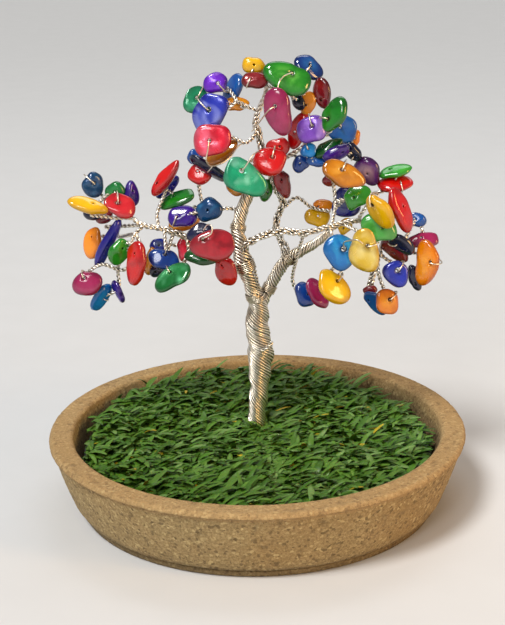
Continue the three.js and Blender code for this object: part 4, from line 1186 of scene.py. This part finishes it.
def make_branch(name, branch, silver):
    skin = Skin()
    for route in branch["cables"]:
        add_cable(skin, millimetres(route))
    for start, turns in branch.get("wraps", []):
        add_wrap(skin, millimetres(branch["cables"][0]), start, turns)
    for route in branch["ropes"]:
        rows = millimetres(route)
        thick = rows[:, 3].mean()
        pairs = 1 if thick < 0.62 * MM else 2 if thick < 0.85 * MM else 3
        add_rope(skin, rows, pairs)
    for waypoints, chips in branch["loops"]:
        add_loop(skin, waypoints, chips)
    piece = skin.build(name + "_strands", silver, "root")
    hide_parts(name)


def make_turning_chips():
    for count, (name, (dye, finish, shape)) in enumerate(CHIP_LOOKS.items()):
        seat, outline = seats[name]
        skin = Skin()
        add_chip(skin, seat, outline, seed=count + 1, **shape)
        node = name + "_chip"
        piece = skin.build(name + "_shell", material_of(dye, finish), node)
        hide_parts(node)


def make_fixed_chip(name, chip, seed):
    """A chip that can't turn. Its hole lies a little way from its middle."""
    at, turn, size, form, dye, *finish = chip
    material = material_of(dye, *(finish or ["gloss"]))
    seat = seat_from(at, turn, size)
    rng = random.Random(seed)
    aside = np.array([rng.uniform(-share, share) * seat.size[i] for i, share in ((0, 0.24), (1, 0.16))])
    outline = formed_outline(form, seat.size) - aside
    seat.middle = seat.place(*aside, 0.0)
    skin = Skin()
    add_chip(skin, seat, outline, seed, lumps=0.45, hole=0.28 * MM)
    return skin.build(name, material, "root"), seat, outline


def ring_through(skin, seat, outline):
    """A wire through a chip's hole and close round its nearest edge."""
    direction, reach = edge_reach(outline)
    outward = direction[0] * seat.along + direction[1] * seat.across
    half = seat.size[2] / 2
    flat = half + 0.25 * MM
    points = [
        seat.middle,
        seat.middle + seat.front * flat,
        seat.middle + seat.front * flat + outward * reach * 0.55,
        seat.middle + outward * (reach + 0.25 * MM) + seat.front * half * 0.2,
        seat.middle - seat.front * flat + outward * reach * 0.6,
        seat.middle - seat.front * flat,
        seat.middle,
    ]
    add_wire(skin, smooth_path(points, WIRE_STEP), WIRE_RADIUS * 0.9, 0.3)


def make_spray(name, route, chips, silver):
    wires = Skin()
    stops = millimetres(route or [chip[0] for chip in chips])
    gap, anchor = nearest_wire(stops[0])
    if gap < 14 * MM:
        stops = np.vstack([anchor, stops])
    add_pair(wires, stops)
    for count, chip in enumerate(chips):
        seed = 60 + 7 * count + len(name)
        piece, seat, outline = make_fixed_chip(f"{name}_chip_{count + 1}", chip, seed)
        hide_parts(name)
        if count % 4 == 1:
            ring_through(wires, seat, outline)
    piece = wires.build(name + "_wire", silver, "root")
    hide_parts(name)


def make_inner_chips(silver):
    wires = Skin()
    for count, chip in enumerate(INNER_CHIPS):
        _, seat, _ = make_fixed_chip(f"inner_chip_{count + 1}", chip, 200 + count)
        _, anchor = nearest_wire(seat.middle)
        rear = seat.middle + np.array([0, 1.0, 0]) * (seat.size[2] / 2 + 0.4 * MM)
        add_pair(wires, [anchor, (anchor + rear) / 2 + np.array([0, 1.5 * MM, 0]), rear])
    wires.build("inner_wires", silver, "root")


# ---------------------------------------------------------------- saucer and turf

def rounded_edge(middle, top, start, end):
    """Profile points round an edge of the saucer's rim."""
    angles = [math.radians(angle) for angle in np.linspace(start, end, 7)]
    return [(middle + 1.3 * MM * math.cos(a), top - 1.4 * MM + 1.4 * MM * math.sin(a)) for a in angles]


def make_saucer():
    _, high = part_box("saucer")
    rim = high[0]
    top = high[2]
    wall = SAUCER_WALL
    foot = rim - 7.6 * MM
    step = 2.3 * MM
    inner = rim - wall
    floor = 5 * MM
    profile = [
        (0, 0), (foot * 0.5, 0), (foot - 1.6 * MM, 0), (foot - 1.0 * MM, 0.25 * MM),
        (foot - 0.6 * MM, step - 0.7 * MM), (foot - 0.7 * MM, step - 0.35 * MM),
        (foot - 1.2 * MM, step - 0.1 * MM), (foot - 0.9 * MM, step + 0.15 * MM),
        (foot + 0.45 * MM, step + 0.35 * MM), (foot + 0.8 * MM, step + 1.2 * MM),
    ]
    for t in np.linspace(0.12, 0.93, 26):
        lean = foot + 0.8 * MM + (rim - foot - 1.0 * MM) * t + 0.35 * MM * math.sin(math.pi * t)
        profile.append((lean, step + (top - step) * t))
    profile += rounded_edge(rim - 1.3 * MM, top, 0, 90)
    for t in np.linspace(0.12, 0.88, 9):
        profile.append((rim - 1.3 * MM - (wall - 2.6 * MM) * t, top))
    profile += rounded_edge(inner + 1.3 * MM, top, 90, 180)
    for t in np.linspace(0.08, 0.95, 10):
        profile.append((inner - 3 * MM * t, top - 1.4 * MM - (top - 1.4 * MM - floor) * t))
    profile += [(inner - 5 * MM, floor), (inner * 0.5, floor), (0, floor)]
    points, wear, grime = [], [], []
    for radius, height in profile:
        on_rim = height > top - 2.2 * MM
        for k in range(SAUCER_SIDES):
            a = 2 * math.pi * k / SAUCER_SIDES
            x, y = radius * math.cos(a), radius * math.sin(a)
            here = Vector((x, y, height))
            coarse = noise.noise(here / (7 * MM))
            grit = noise.noise(here / (1.1 * MM)) + 0.6 * noise.noise(here / (0.55 * MM))
            pit = min(0.0, noise.noise(here / (2.1 * MM) + Vector((9, 2, 4))) + 0.32)
            push = 0.10 * MM * coarse + 0.10 * MM * grit + 0.5 * MM * pit
            if height <= 0.3 * MM:
                push = min(push, 0) * 0.2
            grow = 1 + push / max(radius, 12 * MM)
            lift = push if on_rim and radius < rim - 1 * MM else 0
            points.append((x * grow, y * grow, max(0.0, height + min(lift, 0.05 * MM))))
            wear.append(0.9 if on_rim else max(0.0, 0.35 * coarse))
            # Painted shade for each point: the groove of the foot's step, the bowl inside the wall
            # below the rim, and the pits of the surface.
            step_shade = math.exp(-((height - step) / (0.35 * MM)) ** 2) if radius > foot * 0.9 else 0
            bowl_shade = 1.0 if radius < inner and height < top - 3 * MM else 0
            grime.append(max(step_shade, bowl_shade * 0.6, 0.8 * max(0.0, -pit * 2)))
    faces = []
    for i in range(len(profile) - 1):
        for k in range(SAUCER_SIDES):
            a, b = i * SAUCER_SIDES + k, i * SAUCER_SIDES + (k + 1) % SAUCER_SIDES
            faces.append((a, b, b + SAUCER_SIDES, a + SAUCER_SIDES))
    skin = Skin()
    skin.add(points, faces, wear=wear, grime=grime)
    piece = skin.build("saucer_body", saucer_material(), "root")
    weld(piece)
    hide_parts("saucer")


def weld(piece):
    """Joins the points that meet on the axis and points every face outwards."""
    work = bmesh.new()
    work.from_mesh(piece.data)
    bmesh.ops.remove_doubles(work, verts=work.verts, dist=0.000001)
    bmesh.ops.dissolve_degenerate(work, edges=work.edges, dist=0.000001)
    bmesh.ops.recalc_face_normals(work, faces=work.faces)
    work.to_mesh(piece.data)
    work.free()


TURF_TONES = [
    ((0.045, 0.112, 0.009), 0.20),
    ((0.064, 0.150, 0.013), 0.34),
    ((0.090, 0.188, 0.022), 0.31),
    ((0.140, 0.245, 0.060), 0.135),
    ((0.480, 0.360, 0.020), 0.015),
]


def turf_tone(rng):
    draw = rng.random()
    for tone, share in TURF_TONES:
        draw -= share
        if draw <= 0:
            break
    glow = rng.uniform(0.8, 1.25)
    return (*scaled(tone, glow), 1.0)


def add_blade(skin, root, heading, lean, length, width, curl, tone):
    """One folded strip of turf that arches over as it rises."""
    across = np.array([-math.sin(heading), math.cos(heading), 0])
    ahead = np.array([math.cos(heading), math.sin(heading), 0])
    points, faces = [], []
    place = np.array(root, float)
    rise = lean
    for i in range(BLADE_SPANS + 1):
        t = i / BLADE_SPANS
        half = width / 2 * (1 - 0.70 * t ** 4) * (0.75 + 0.25 * min(1, 4 * t))
        normal = -math.sin(rise) * ahead + math.cos(rise) * np.array([0, 0, 1.0])
        points += [place - across * half, place + normal * half * 0.30, place + across * half]
        forward = math.cos(rise) * ahead + math.sin(rise) * np.array([0, 0, 1.0])
        place = place + forward * length / BLADE_SPANS
        rise -= curl / BLADE_SPANS
    for i in range(BLADE_SPANS):
        for k in (0, 1):
            a = 3 * i + k
            faces.append((a, a + 1, a + 4, a + 3))
    skin.add(points, faces, tone=np.tile(tone, (len(points), 1)))


def bare_edge(x, y, radius):
    """Whether a place is in the strip at the right and back that the turf doesn't reach."""
    bearing = math.degrees(math.atan2(y, x))
    return -25 < bearing < 70 and math.hypot(x, y) > radius - 4.5 * MM


def add_collar(skin, rng, floor):
    """Blades that stand close round the foot of the trunk."""
    for k in range(COLLAR_BLADES):
        bearing = 2 * math.pi * k / COLLAR_BLADES + rng.uniform(-0.1, 0.1)
        reach = rng.uniform(3.0, 3.6) * MM
        x = reach * math.cos(bearing)
        y = TREE_Y + reach * math.sin(bearing)
        root = (x, y, floor + rng.uniform(1.6, 3.4) * MM)
        heading = math.radians(rng.uniform(125, 195))
        lean = math.radians(rng.uniform(25, 60))
        curl = math.radians(rng.uniform(20, 60))
        length = rng.uniform(4, 6) * MM
        width = rng.uniform(1.2, 2.0) * MM
        add_blade(skin, root, heading, lean, length, width, curl, turf_tone(rng))


def make_turf():
    rng = random.Random(11)
    low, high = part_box("turf_pile")
    floor = low[2]
    radius = high[0]
    pitch = TURF_PITCH
    skin = Skin()
    rows = int(radius / pitch) + 3
    for i in range(-rows, rows + 1):
        for k in range(-rows, rows + 1):
            x = (i + 0.5 * (k % 2)) * pitch + rng.uniform(-0.6, 0.6) * MM
            y = k * pitch * 0.87 + rng.uniform(-0.6, 0.6) * MM
            outside = math.hypot(x, y) > radius - 1.2 * MM
            if outside or math.hypot(x, y - TREE_Y) < 3.4 * MM or bare_edge(x, y, radius):
                continue
            drift = noise.noise(Vector((x, y, 0)) / (16 * MM))
            tuft = noise.noise(Vector((x, y, 30 * MM)) / (9 * MM))
            back = min(1.0, max(0.0, (y - x * 0.4 - 6 * MM) / (34 * MM)))
            for _ in range(rng.choice((5, 6, 7))):
                heading = math.radians(-26 + 70 * drift + rng.gauss(0, 44))
                lean = math.radians(rng.uniform(6, 56))
                length = rng.uniform(4.2, 8.2) * MM
                ahead = 0.8 * length
                tip = math.hypot(x + ahead * math.cos(heading), y + ahead * math.sin(heading))
                if tip > radius - 0.5 * MM:
                    length *= 0.5
                rise = rng.uniform(-0.3, 2.4 + 1.3 * tuft + 3.0 * back) * MM
                root = (x + rng.uniform(-0.7, 0.7) * MM, y + rng.uniform(-0.7, 0.7) * MM, floor + rise)
                width = rng.uniform(1.1, 2.3) * MM
                curl = math.radians(rng.uniform(25, 80))
                add_blade(skin, root, heading, lean, length, width, curl, turf_tone(rng))
    add_collar(skin, rng, floor)
    piece = skin.build("turf_blades", turf_material(), "root")
    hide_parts("turf_pile")


def finish_hidden_nodes():
    finishes = {
        "turf_backing": backing_material(),
        "filler_disc": filler_material(),
        "glue_pad": glue_material(),
    }
    for name, material in finishes.items():
        mesh = NODES[name].data
        mesh.materials.clear()
        mesh.materials.append(material)


# ---------------------------------------------------------------- everything

add_camera()
add_studio()
add_floor()
silver = wire_material()
for name, branch in BRANCHES.items():
    make_branch(name, branch, silver)
make_turning_chips()
for name, (route, chips) in SPRAYS.items():
    make_spray(name, route, chips, silver)
make_inner_chips(silver)
make_saucer()
make_turf()
finish_hidden_nodes()
